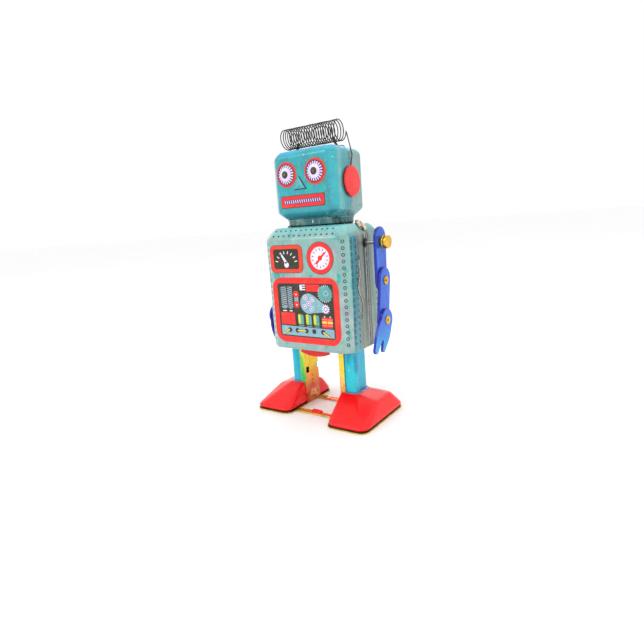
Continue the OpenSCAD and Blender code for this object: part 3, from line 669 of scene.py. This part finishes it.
# chest panel
c = Artwork(on_front)
c.hoop(rounded(-16.45, 32.1, 16.25, 59.35, 4.6, 8), rounded(-14.1, 34.6, 13.8, 57.1, 1.2, 8), ink_red, 3)
c.hoop(rounded(-16.65, 31.9, 16.4, 59.55, 4.8, 8), rounded(-16.4, 32.15, 16.2, 59.3, 4.6, 8), ink_orange)
c.area(rounded(-14.3, 34.4, 14.0, 57.3, 1.4, 8), ink_dark)
c.hoop(rounded(-14.1, 34.6, 13.8, 57.1, 1.2, 8), rounded(-13.75, 34.95, 13.45, 56.75, 1.0, 8), ink_line, 2)
for x0, x1, lean in ((-12.5, -9.5, 1), (-9.0, -6.5, -1)):
    c.area([(x0, 46.9), ((x0 + x1) / 2, 46.3), (x1, 46.9), (x1, 55.7), (x0, 55.7)], ink_grey, 2)
    for k in range(10):
        z = 47.4 + 0.88 * k
        c.area([(x0, z), (x1, z + lean * 0.75), (x1, z + lean * 0.75 + 0.3), (x0, z + 0.3)], ink_line, 3)
    c.area(stroke((x0 + 0.4, 45.5), (x1 - 0.5, 45.5), 0.45), ink_white, 2)
for z in (52.6, 48.3):
    c.dot(-4.6, z, 1.45, ink_red, 3)
    c.dot(-4.5, z - 0.1, 0.36, ink_white, 4, 12)
c.slab(-5.6, 49.4, -3.5, 51.5, ink_grey, 2)
c.slab(-2.4, 54.3, -1.3, 56.6, ink_white, 2)
for z in (54.4, 55.35, 56.2):
    c.slab(-1.35, z, 0.3, z + 0.42, ink_white, 2)
c.slab(0.6, 53.9, 7.3, 56.8, ink_red, 2)
for k, t in enumerate(around(22)):
    c.tooth(9.9, 53.1, t, 2.9, 3.75, 0.1, 0.12, ink_white if 3 < k < 20 else ink_teal, 3)
c.dot(9.9, 53.1, 3.15, ink_teal, 4, 40)
c.dot(10.3, 53.3, 1.3, ink_sky, 5)
c.circle_line(10.3, 53.3, 1.3, 0.14, ink_grey, 6)
c.dot(10.3, 53.3, 0.42, ink_purple, 6, 14)
c.area([(3.9, 52.5), (9.7, 48.3), (9.3, 45.6), (2.4, 44.9)], ink_sky, 3)
c.dot(1.6, 48.9, 4.15, ink_sky, 4, 48)
c.circle_line(1.6, 48.9, 4.15, 0.12, ink_grey, 5, 48)
for x, z in ((0.1, 51.2), (3.4, 50.6), (-0.4, 47.7), (2.9, 46.8), (1.6, 49.0)):
    c.dot(x, z, 1.02, ink_white, 5)
    c.circle_line(x, z, 0.6, 0.28, ink_purple, 6, 20)
for t in around(12):
    c.tooth(9.8, 46.9, t, 1.35, 2.15, 0.2, 0.2, ink_white, 5)
c.dot(9.8, 46.9, 1.45, ink_white, 6)
c.circle_line(9.8, 46.9, 0.8, 0.3, ink_purple, 7, 20)
c.slab(-13.3, 39.7, -5.9, 44.8, ink_red, 3)
for x in (-2.9, 1.1, 4.9):
    c.area(rounded(x - 1.45, 40.0, x + 0.1, 44.4, 0.7), ink_green, 2)
    c.area(rounded(x - 1.15, 40.8, x - 0.55, 43.6, 0.28), ink_yellow, 3)
    c.area(rounded(x - 0.1, 39.9, x + 1.35, 44.2, 0.7), ink_teal, 3)
    c.area(stroke((x - 1.2, 39.3), (x + 1.4, 39.5), 0.3), ink_grey, 2)
c.slab(7.6, 39.2, 12.7, 43.5, ink_red, 2)
for z, h, mat in ((42.4, 0.45, ink_pink), (41.0, 0.95, ink_yellow), (40.0, 0.4, ink_pink)):
    c.slab(7.6, z, 12.7, z + h, mat, 3)
for x in (8.7, 11.4):
    c.slab(x, 43.5, x + 0.5, 44.1, ink_white, 2)
c.slab(9.95, 39.2, 10.35, 43.5, ink_orange, 4)
c.area([(-13.5, 35.1), (13.2, 35.1), (13.2, 38.7), (-13.5, 39.2)], ink_sky, 2)
levers = (((-12.3, 35.6), (-9.2, 37.5)), ((-5.0, 37.3), (-0.7, 37.3)), ((7.9, 37.3), (10.9, 35.4)))
for a, b in levers:
    c.area(stroke(a, b, 0.95), ink_dark, 3)
    c.area(stroke(a, b, 0.55), ink_yellow, 6)
for x in (-9.0, -5.2, -0.5, 3.4, 7.8):
    c.dot(x, 37.35, 0.92, ink_line, 4, 18)
    c.circle_line(x, 37.35, 0.98, 0.14, ink_purple, 5, 18)
printed("chest_panel", c)

# printed hose on both sides
for side, hand in SIDES:
    h = Artwork(on_side(side))
    for z in (66.3, 42.6):
        h.circle_line(-5.9, z, 0.7, 0.3, ink_line, 2, 20)
    line = [(-5.9 + 1.15 * sin((65.4 - z) * 0.42) * min(1, (65.4 - z) / 9) + (0.9 if z < 54 else 0) *
             min(1, (54 - z) / 4), z) for z in (65.4 - 0.55 * k for k in range(41))]
    for half_width, mat, level in ((1.25, ink_line, 2), (0.85, ink_hose, 3), (0.28, ink_shine, 4)):
        for (y0, z0), (y1, z1) in zip(line, line[1:]):
            w = half_width * (0.75 + 0.25 * sin(z0 * 2.2))
            h.area([(y0 - w, z0), (y1 - w, z1), (y1 + w, z1), (y0 + w, z0)], mat, level)
    printed(f"hose_print_{hand}", h)

# neck
n = Shape()
neck_rows = ((0.3, 79.62), (0.3, 79.9), (0.0, 80.1), (0.0, 81.9), (-0.25, 82.3), (-0.25, 82.9))
for side in (-1, 1):
    n.loft([half_ring(25.0 - 2 * i, 16.0 - 2 * i, 2.2, 2.2, 1.0, z, side) for i, z in neck_rows], 0, closed=False)
piece("neck_band", n, neck_paint, "torso", "head_print", ["neck_collar"], thick=0.4, inside=(0, 0, 81))
n = Artwork(lambda x, z, lift: (x, -8.0 - lift, z))
for x in (-6.5, 4.6):
    n.block(rounded(x, 79.9, x + 0.35, 82.4, 0.15, 3), -0.05, 0.12, neck_paint)
# a white fleck: a painted highlight on the neck
n.block(rounded(1.2, 80.7, 1.75, 82.2, 0.2, 3), -0.05, 0.1, ink_white)
printed("neck_ribs_and_highlight", n, "head_print", bevel=0.06)

# ---------- head ----------
HEAD_W, HEAD_D = 2 * head_side, -2 * head_front


def head_ring(inset, z, side, lip=0.0):
    cut = max(0.35, 1 - inset / 9)
    return half_ring(HEAD_W - 2 * inset, HEAD_D - 2 * inset, 3.3 * cut, 3.0 * cut, 1.9, z, side, lip)


def head_half(side):
    s = Shape()
    rows = [half_ring(25.4, 16.4, 2.2, 2.2, 1.0, 82.72, side), head_ring(2.5, 83.15, side),
            head_ring(1.6, 84.0, side), head_ring(0.7, 84.85, side, 0.1), head_ring(0.22, 85.45, side, 0.12),
            head_ring(0.03, 86.1, side, 0.12)]
    rows += [head_ring(0.0, 87.0 + 3.2 * k, side, 0.12) for k in range(7)]
    rows += [head_ring(i, z, side, 0.12) for i, z in ((0.03, 106.6), (0.14, 107.1), (0.45, 107.7), (1.0, 108.4),
                                                      (1.6, 109.0), (2.1, 109.35), (2.7, 109.52))]
    rows += [head_ring(3.6, 109.6, side), head_ring(5.5, head_top, side)]
    rows.append([(x * 0.55, 0.0, head_top) for x, _, _ in rows[-1]])
    s.loft(rows, 0, closed=False)
    return s


piece("head_front_tin", head_half(-1), head_paint, "torso", "head_print", ["head_front_shell"], thick=0.35,
      inside=(0, 2, 96))
piece("head_back_tin", head_half(1), head_rear, "torso", "head_print", ["head_back_shell"], thick=0.35,
      inside=(0, -2, 96))


def on_face(x, z, lift):
    return (x, head_front - lift, z)


EYE_Z, EYE_X = 100.25, 7.0
for side, hand in SIDES:
    s = Shape()
    x = side * EYE_X
    prof = [(5.0, -0.05), (5.0, 0.08), (4.8, 0.24), (4.66, 0.36), (4.3, 0.5), (3.98, 0.5), (3.88, 0.42),
        (3.7, 0.42), (3.0, 0.72), (2.2, 1.02), (1.45, 1.16), (1.26, 1.2), (1.1, 1.3), (0.75, 1.42), (0.5, 1.48),
        (0.15, 1.5)]
    parts = [4, 5, 5, 0, 0, 4, 4, 1, 1, 1, 4, 4, 3, 3, 6]
    s.lathe(prof, (x, head_front, EYE_Z), (0, -1, 0), 56, parts, (False, True))
    for t in around(20):
        ca, sa = cos(t), sin(t)
        rows = []
        for r, h, w in ((2.65, 0.86, 0.16), (3.72, 0.42, 0.26)):
            rows.append([(x + r * ca - w * q * sa, head_front - h + 0.05 - lift, EYE_Z + r * sa + w * q * ca)
                         for q, lift in ((-1, 0), (-1, 0.08), (1, 0.08), (1, 0))])
        s.solid(rows, 2)
    piece(f"eye_{hand}", s, [ink_ring, ink_lilac, ink_violet, ink_dark, ink_line, ink_rim, ink_olive], "torso",
        "head_print")

s = Artwork(on_face)


def shrink(pts, c, f):
    return [(c[0] + (x - c[0]) * f, c[1] + (z - c[1]) * f) for x, z in pts]


nose, mid = [(-0.8, 99.0), (-3.75, 94.2), (2.2, 94.2)], (-0.78, 95.6)
s.hoop(shrink(nose, mid, 1.06), shrink(nose, mid, 0.93), ink_grey, 4)
# dark lines along the right edge and the base: painted shadow of the raised nose
s.area([(-0.8, 99.25), (2.45, 94.0), (1.85, 94.05), (-0.95, 98.55)], ink_line, 7)
s.area([(-4.0, 94.02), (-3.4, 94.4), (2.0, 94.4), (2.45, 94.02)], ink_line, 6)
s.block(shrink(nose, mid, 0.86), 0.0, 0.3, head_paint)
for x, z in ((0.1, 101.6), (-0.3, 103.1), (-12.1, 103.9), (3.0, 104.6), (13.0, 93.8)):
    s.dot(x, z, 0.28, ink_grey, 2, 12)
printed("nose", s, "head_print", bevel=0.05)

m = Artwork(on_face)
m.hoop(rounded(-10.75, 87.2, 10.75, 92.0, 0.5), rounded(-10.45, 87.5, 10.45, 91.7, 0.4), ink_line, 2)
m.block(rounded(-10.5, 87.45, 10.5, 91.75, 0.4), 0, 0.22, ink_red)
m.block(rounded(-9.25, 88.75, 9.15, 90.45, 0.3), 0, 0.25, ink_violet, ink_line)
for k in range(17):
    x = -8.95 + 1.065 * k
    m.block([(x + 0.35, 88.95), (x + 0.77, 88.95), (x + 0.47, 90.25), (x + 0.05, 90.25)], 0.2, 0.29, ink_lilac)
printed("mouth", m, "head_print", bevel=0.05)

for side, hand in SIDES:
    s = Shape()
    prof = [(5.7, -0.02), (5.95, 0.04), (5.97, 0.75), (5.9, 0.95), (5.72, 1.12), (5.4, 1.2), (5.0, 1.17),
        (3.6, 1.24), (1.8, 1.29), (0.4, 1.3)]
    s.lathe(prof, (side * head_side, 0, 95.9), (side, 0, 0), 72, [1, 1, 0, 0, 0, 0, 0, 0, 0], (False, True))
    piece(f"ear_{hand}", s, [ear_paint, ear_rim], "torso", "ear_red", [f"ear_disc_{hand}"], crisp=50)

# ---------- antenna: one spring wire from ear to ear ----------
coil_lo, coil_hi = size_of("antenna_coil")
COIL_A, COIL_B = coil_lo[0] + 0.25, coil_hi[0] - 0.25
COIL_Z, COIL_R = (coil_lo[2] + coil_hi[2]) / 2, (coil_hi[2] - coil_lo[2]) / 2 - 0.24
turns, per = 23, 26
coil = []
for i in range(turns * per + 1):
    t = i / (turns * per)
    bunch = 0.012 * sin(2 * pi * 2 * t + 0.9) + 0.003 * sin(2 * pi * 7 * t)
    a = 2 * pi * turns * t
    r = COIL_R - 0.03 + 0.03 * sin(9 * t * pi)
    fade = min(1.0, t * 12, (1 - t) * 12)
    coil.append((COIL_A + (COIL_B - COIL_A) * (t + bunch * fade), r * cos(a), COIL_Z + r * sin(a)))


def lead(side):
    start = COIL_B if side > 0 else COIL_A
    pts = []
    for k in range(1, 17):
        f = k / 16
        out = min(1.0, f * 1.45)
        pts.append((start + (side * 15.95 - start) * out, coil[0][1] * (1 - f ** 1.1),
                COIL_Z + (101.85 - COIL_Z) * f))
    return pts


wire = lead(-1)[::-1] + coil + lead(1)
s = Shape()
s.tube(wire, 0.215, 8)
piece("antenna_wire", s, wire_metal, "torso", "wire", ["antenna_coil", "antenna_leads"], crisp=70)

AXLE_Z, ELBOW_Z, WRIST_Z = 71.7, 56.65, 40.9

# tabs and clips of folded tin
s = Shape()
tilt = Matrix.Rotation(radians(50.6), 3, "Y")
for side in (1, -1):
    def on_tab(u, v, lift, side=side):
        q = tilt @ Vector((u, v, lift)) + Vector((body_side - 2.5, 1.5, body_top - 1.1))
        return (side * q.x, q.y, q.z)
    disc = circle(0, 0, 2.6, 28)
    s.prism([(max(-2.1, u), v) for u, v in disc], on_tab, 0.1, 0.55, 0, 0)
    s.prism(stroke((-1.7, 0.9), (1.9, -0.7), 0.34), on_tab, 0.5, 0.62, 1, 1)
    s.prism(stroke((0.9, -2.2), (2.3, -1.0), 0.5), on_tab, 0.15, 0.9, 1, 1)
    # a dark disc under the tab, showing as a crescent round its lower left: a painted shadow
    s.prism(circle(-0.1, -0.15, 2.85, 28), on_tab, 0.0, 0.12, 1, 1)
piece("shoulder_tabs", s, [bare_tin, clip_metal], "torso", "bare_tin", ["seam_tabs"], bevel=0.09)
# folded tin clips on the head's top, coloured dark as painted shade
s = Shape()
for side in (1, -1):
    path = [(12.9, 109.65), (11.2, 109.75), (10.0, 110.3), (9.3, 111.3), (8.8, 112.6), (8.9, 113.5)]
    outer = [Vector(p) for p in path]
    for y0, y1 in ((-1.1, -0.15), (0.15, 1.1)):
        rings = []
        for i, p in enumerate(outer):
            d = (outer[min(i + 1, 5)] - outer[max(i - 1, 0)]).normalized()
            q = Vector((-d.y, d.x)) * 0.17
            wide = 1 - 0.09 * i
            rings.append([(side * (p + q).x, y0 * wide, (p + q).y), (side * (p + q).x, y1 * wide, (p + q).y),
                          (side * (p - q).x, y1 * wide, (p - q).y), (side * (p - q).x, y0 * wide, (p - q).y)])
        s.solid(rings)
piece("coil_clips", s, clip_metal, "torso", "bare_tin", bevel=0.06)
s = Shape()
for side in (1, -1):
    s.lathe([(2.0, -0.05), (2.0, 0.1), (1.8, 0.3), (1.3, 0.4), (0.95, 0.3), (0.92, -0.2)],
            (side * body_side, 0, AXLE_Z), (side, 0, 0), 32, 0, (False, False))
piece("axle_eyelets", s, clip_metal, "torso", "steel", thick=0.08)

# ---------- arms ----------
# for each side: inner face, lean of the whole arm, lean of the forearm, turn of the claw
ARMS = {1: (26.6, 0, 8, 22), -1: (21.2, 10, 0, -30)}


def swing(shape, z0, lean):
    """Leans a shape forward about a level axis at height z0."""
    c, k = cos(radians(-lean)), sin(radians(-lean))
    shape.v = [(x, y * c - (z - z0) * k, z0 + y * k + (z - z0) * c) for x, y, z in shape.v]
    return shape


def in_place(shape, side, lower=True):
    _, whole, fore, _ = ARMS[side]
    if lower:
        swing(shape, ELBOW_Z, fore)
    return swing(shape, AXLE_Z, whole)


def stadium(z0, z1, r, n=16, steps=6):
    """Outline of an arm link: two half circles and the sides between them."""
    pts = [polar(0, z1, r, pi * k / n) for k in range(n + 1)]
    pts += [(-r, z1 + (z0 - z1) * k / steps) for k in range(1, steps)]
    pts += [polar(0, z0, r, pi + pi * k / n) for k in range(n + 1)]
    pts += [(r, z0 + (z1 - z0) * k / steps) for k in range(1, steps)]
    return pts


def arm_plate(side, x0, z0, z1):
    s = Shape()
    rows = [(2.2, 0.62), (4.0, 0.62), (4.0, 0.02), (4.08, -0.02), (4.32, 0.0), (4.4, 0.12), (4.4, 0.72),
        (4.32, 0.95), (4.12, 1.06), (3.75, 1.1), (3.3, 1.1), (1.6, 1.1)]
    mats = [0, 1, 1, 1, 1, 1, 1, 1, 0, 0, 0]
    s.solid([[(side * (x0 + h), y, z) for y, z in stadium(z0, z1, r)] for r, h in rows], mats)
    return s


def eyelet(side, x, z):
    s = Shape()
    s.lathe([(1.72, -0.06), (1.76, 0.1), (1.66, 0.34), (1.36, 0.47), (1.0, 0.44), (0.74, 0.28), (0.66, 0.12),
            (0.2, 0.1)], (side * x, 0, z), (side, 0, 0), 36)
    s.lathe([(0.5, 0.02), (0.46, 0.2), (0.1, 0.28)], (side * x, 0, z), (side, 0, 0), 20, 1)
    s.lathe([(0.6, 0), (0.6, 2.4), (1.2, 2.4), (1.1, 2.65), (0.3, 2.7)], (side * (x + 0.1), 0, z),
        (-side, 0, 0), 24)
    return s


def arc(x, z, r, a0, a1, n=14):
    return [polar(x, z, r, radians(a0 + (a1 - a0) * k / n)) for k in range(n + 1)]


# outline of a claw from its pivot: round the top, down one finger, up to the notch and down the other
claw_line = arc(0, 0, 4.6, -10, 190) + [(-5.3, -2.6), (-5.7, -4.8), (-5.8, -7.2), (-5.5, -9.8)]
claw_line += arc(-3.3, -13.6, 1.5, 170, 335)
claw_line += [(-1.2, -11.0), (-0.5, -9), (-0.15, -8.35), (0.15, -8.35), (0.5, -8.9)]
claw_line += arc(2.3, -11.6, 1.1, 200, 365) + [(4.1, -9.2), (4.75, -7.0), (5.0, -5.0), (4.9, -3.0)]
for side, hand in SIDES:
    arm_x = ARMS[side][0]
    for label, x0, z0, z1 in (("upper_arm", arm_x, ELBOW_Z, AXLE_Z + 1.7),
                              ("forearm", arm_x + 1.25, WRIST_Z, ELBOW_Z + 0.85)):
        piece(f"{label}_plate_{hand}", in_place(arm_plate(side, x0, z0, z1), side, label == "forearm"),
              [arm_paint, arm_rim], f"{label}_{hand}", "arm_blue", [f"{label}_{hand}"], crisp=50)
    s = Shape()
    s.prism(claw_line, lambda y, z, l, side=side: (side * (arm_x + 2.5 + l), y, WRIST_Z + z), 0.0, 1.1, 0, 1)
    in_place(swing(s, WRIST_Z, ARMS[side][3]), side)
    piece(f"claw_plate_{hand}", s, [arm_paint, arm_rim], f"claw_{hand}", "arm_blue", [f"claw_{hand}"], bevel=0.22,
          segments=3)
    piece(f"elbow_eyelet_{hand}", in_place(eyelet(side, arm_x + 2.42, ELBOW_Z), side, False),
        [brass, clip_metal], f"upper_arm_{hand}", "brass", [f"elbow_rivet_{hand}"])
    piece(f"wrist_eyelet_{hand}", in_place(eyelet(side, arm_x + 3.66, WRIST_Z), side), [brass, clip_metal],
        f"forearm_{hand}", "brass", [f"wrist_rivet_{hand}"])
    s = Shape()
    s.lathe([(0.85, -1.0), (0.85, 0.06), (1.85, 0.06), (1.95, 0.2), (1.95, 0.75), (2.3, 0.85), (2.5, 0.95),
            (2.6, 1.15), (2.6, 1.5), (2.53, 1.58), (2.6, 1.66), (2.6, 3.0), (2.52, 3.2), (2.36, 3.33),
            (2.1, 3.38), (1.3, 3.36), (0.4, 3.35)], (side * (arm_x + 1.2), 0, AXLE_Z), (side, 0, 0), 44)
    piece(f"shoulder_nut_{hand}", s, brass, "torso", "brass", [f"shoulder_knob_{hand}"], crisp=42)

# ---------- legs and feet ----------
TOE, HEEL = 19.0, 16.0  # reach of a foot in front of and behind its leg
FOOT_IN, FOOT_OUT = 10.95, 29.4
INSTEP, FOOT_STEP = 10.6, 7.8
VOXEL = 0.42
LEG_TOP = 39.2


def settled(obj):
    """Replaces the modifiers by the mesh that they make."""
    dg = bpy.context.evaluated_depsgraph_get()
    mesh = bpy.data.meshes.new_from_object(obj.evaluated_get(dg))
    obj.modifiers.clear()
    obj.data = mesh
    for p in mesh.polygons:
        p.use_smooth = True


def lying(side):
    """Places a flat shape parallel to the ground."""
    return lambda u, v, lift: (side * u, v, lift)


def foot(name, side, y0, body, swaps):
    """A pressed foot: the softened hull of its sole line, its edge, its step and its instep."""
    bm = bmesh.new()
    pts = []
    for z, grow in ((0.85, -0.15), (2.1, 0.0)):
        edge = rounded(FOOT_IN - grow, y0 - TOE - grow, FOOT_OUT + grow, y0 + HEEL + grow, 3.7, 6)
        pts += [(u, v, z) for u, v in edge]
    pts += [(u, v, INSTEP) for u, v in rounded(FOOT_IN, y0 - 6.2, 18.5, y0 + 4.8, 0.9, 3)]
    pts += [(u, v, FOOT_STEP) for u, v in rounded(FOOT_IN, y0 - 4.6, 27.0, y0 + 10.4, 2.4, 5)]
    for u, v, z in pts:
        bm.verts.new(P(side * u, v, z))
    bmesh.ops.convex_hull(bm, input=bm.verts)
    bmesh.ops.delete(bm, geom=[v for v in bm.verts if not v.link_faces], context="VERTS")
    bmesh.ops.recalc_face_normals(bm, faces=bm.faces)
    mesh = bpy.data.meshes.new(name)
    bm.to_mesh(mesh)
    bm.free()
    obj = bpy.data.objects.new(name, mesh)
    bpy.context.scene.collection.objects.link(obj)
    r = obj.modifiers.new("skin", "REMESH")
    r.mode = "VOXEL"
    r.voxel_size = VOXEL * MM
    r.use_smooth_shade = True
    k = obj.modifiers.new("soften", "SMOOTH")
    k.factor = 0.5
    k.iterations = 9
    bpy.context.view_layer.update()
    settled(obj)
    obj.data.materials.append(foot_paint)
    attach(obj, body)
    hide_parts(*swaps)


for side, hand in SIDES:
    lo, hi = size_of(f"leg_frame_{hand}")
    y0 = (lo[1] + hi[1]) / 2
    body = f"leg_{hand}"
    foot(f"foot_{hand}", side, y0, body, [f"foot_shell_{hand}"])
    # blue cover: a channel of tin round the front, outside and back of the leg
    path = [(10.98, -4.75), (17.7, -4.75), (17.7, 4.75), (10.98, 4.75)]
    line = refine(corner_round(path, 0.9, 5), 1.2)
    s = Shape()
    s.loft([[(side * p.x, y0 + p.y, z) for p in line] for z in (9.3, 9.6, 14, 19, 24, 29, 34, LEG_TOP)], 0,
        closed=False)
    piece(f"leg_cover_tin_{hand}", s, leg_paint, body, "leg_blue", [f"leg_cover_{hand}"], thick=0.35,
          inside=(side * 13, y0, 25))
    # collar of folded tin where the leg meets the foot
    s = Shape()
    for x0, ya, x1, yb in ((17.75, -4.9, 19.0, 4.6), (11.2, -5.6, 18.4, -4.8), (11.2, 4.8, 18.0, 5.5)):
        s.prism(rectangle(x0, y0 + ya, x1, y0 + yb), lying(side), 9.75, 10.7)
    piece(f"ankle_flange_{hand}", s, flange_paint, body, "foot_red", bevel=0.2)
    # bright strip along the front flange of the inner frame
    s = Shape()
    s.prism(rectangle(10.46, 8.5, 12.95, LEG_TOP),
            lambda u, v, l, side=side: (side * u, y0 - 5.2 - l, v), -0.05, 0.07)
    # the right strip's green is a painted reflection on gold tin
    piece(f"frame_strip_{hand}", s, green_gold if side < 0 else gold, body, "gold_tin", bevel=0.05)
    # dark line between foot and sole, a painted shadow in the groove, then the sole with its bar
    s = Shape()
    s.prism(rounded(10.8, y0 - TOE, 29.2, y0 + 15.9, 3.6, 6), lying(side), 0.5, 1.0)
    piece(f"foot_gap_shadow_{hand}", s, gap_dark, body, "foot_red")
    s = Shape()
    s.prism(rounded(10.42, y0 - TOE - 0.25, 29.6, y0 + 16.25, 3.9, 7), lying(side), 0.0, 0.5)
    piece(f"sole_{hand}", s, sole_gold, body, "gold_tin", [f"foot_sole_{hand}"], bevel=0.14)
    ya, yb = (y0 - 14.4, y0 - 11.4) if side < 0 else (y0 + 7.2, y0 + 10.2)
    mid = (ya + yb) / 2
    rows = []
    for x in (11.2, 9.4, 8.2, 4, 0, -4, -8, -9.9, -10.15):
        rise = 0.5 if -9 < x < 9 else 0.0  # the bar arches over the ground between the feet
        top, low = (0.62 + rise * 0.5, 0.02 + rise * 0.4) if x < FOOT_IN else (0.5, 0.02)
        trim = 0.35 if x < -10 else 0.0  # rounds the free end
        near, far = ya + trim, yb - trim
        rows.append([(side * x, y, z) for y, z in (
            (near, low), (far, low), (far, top - 0.08), (far - 0.12, top), (mid + 0.5, top),
            (mid + 0.3, top - 0.14), (mid - 0.3, top - 0.14), (mid - 0.5, top), (near + 0.12, top),
            (near, top - 0.08))])
    s = Shape()
    s.solid(rows)
    piece(f"bar_{hand}", s, bar_gold, body, "gold_tin", crisp=30)
    if side < 0:
        s = Shape()
        s.prism(rounded(-2.6, ya + 0.3, 2.4, yb - 0.2, 0.5), lying(side), 0.8, 1.75)
        s.prism(rounded(-7.6, ya + 0.5, -2.2, yb - 0.9, 0.4), lying(side), 0.8, 1.25)
        piece("bar_slide", s, foot_paint, body, "gold_tin", bevel=0.25, segments=3)

# ---------- CAD nodes that stay ----------
KEPT = (
    (gold, "leg_frame_left leg_frame_right"),
    (nickel, "winding_key"),
    (red_plastic, "crank_drum drive_guard"),
    (spring_steel, "mainspring"),
    (steel, "arm_axle winding_arbor drum_shaft motor_pillars second_arbor second_pinion"),
    (steel, "crank_arbor crank_pinion upper_crank_left upper_crank_right lower_crank_left lower_crank_right"),
    (steel, "governor_arbor governor_pinion click click_rivet"),
    (gear_brass, "great_wheel second_wheel governor_driver governor_weight ratchet_wheel"),
    (plate_tin, "motor_plate_left motor_plate_right motor_back_plate motor_bridge motor_brackets"),
)
for mat, nodes in KEPT:
    for node in nodes.split():
        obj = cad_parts[node]
        obj.data.materials.clear()
        obj.data.materials.append(mat)
KEY_EDGE, PLATE_EDGE = 0.14, 0.07
for node in ("winding_key", "leg_frame_left", "leg_frame_right", "motor_plate_left", "motor_plate_right"):
    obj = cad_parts[node]
    weld = obj.modifiers.new("weld", "WELD")
    weld.merge_threshold = 2e-6
    b = obj.modifiers.new("edge", "BEVEL")
    b.width = (KEY_EDGE if node == "winding_key" else PLATE_EDGE) * MM
    b.segments = 2
    b.limit_method = "ANGLE"
    b.angle_limit = radians(38)

# ---------- studio ----------
cam = bpy.data.objects.new("camera", bpy.data.cameras.new("camera"))
bpy.context.scene.collection.objects.link(cam)
cam.data.sensor_width = 36.0
cam.data.lens = 26.81
cam.data.clip_start = 0.01
# the photograph's angle, fitted to points measured in it
yaw, pitch, roll = radians(35.0), radians(11.63), radians(-4.03)
fwd = Vector((-sin(yaw) * cos(pitch), cos(yaw) * cos(pitch), -sin(pitch)))
right = Vector((cos(yaw), sin(yaw), 0))
up = right.cross(fwd)
cx = right * cos(roll) + up * sin(roll)
cy = up * cos(roll) - right * sin(roll)
turn = Matrix((cx, cy, -fwd)).transposed().to_4x4()
cam.matrix_world = Matrix.Translation(P(115.9, -170.01, 80.51)) @ turn
bpy.context.scene.camera = cam

floor_mat = finish("floor_mat", (253, 253, 253), [((251, 251, 251), 6, 0.4, 0.7)],
                   rough=(0.55, 0.65), coat=0.0, dents=0.0, grain=0.02, speck=0.006)
mesh = bpy.data.meshes.new("studio_floor")
FLOOR_R = 9000
rim = [P(x, y, 0) for x, y in circle(0, 0, FLOOR_R, 64)]
mesh.from_pydata(rim, [], [list(range(64))])
mesh.materials.append(floor_mat)
floor = bpy.data.objects.new("studio_floor", mesh)
bpy.context.scene.collection.objects.link(floor)

world = bpy.data.worlds.new("studio")
bpy.context.scene.world = world
world.use_nodes = True
background = world.node_tree.nodes["Background"].inputs
background["Color"].default_value = (1.0, 1.0, 1.0, 1.0)
background["Strength"].default_value = 1.0


def softbox(name, at, aim, size, power, tint=(1, 1, 1)):
    light = bpy.data.lights.new(name, "AREA")
    light.shape = "RECTANGLE"
    light.size, light.size_y = size
    light.energy = power
    light.color = tint
    obj = bpy.data.objects.new(name, light)
    bpy.context.scene.collection.objects.link(obj)
    obj.location = at
    obj.rotation_euler = (Vector(aim) - Vector(at)).to_track_quat("-Z", "Y").to_euler()


middle = (0, 0, 0.055)
softbox("key", (-0.28, -0.62, 0.62), middle, (0.5, 0.4), 1.5, (1.0, 0.98, 0.95))
softbox("fill", (0.75, -0.32, 0.34), middle, (0.5, 0.6), 0.6, (0.95, 0.98, 1.0))
softbox("top", (0.05, 0.1, 0.8), middle, (0.6, 0.6), 0.5)
softbox("back", (-0.35, 0.7, 0.42), middle, (0.5, 0.4), 0.9, (0.98, 0.99, 1.0))
bpy.context.scene.view_settings.view_transform = "Standard"
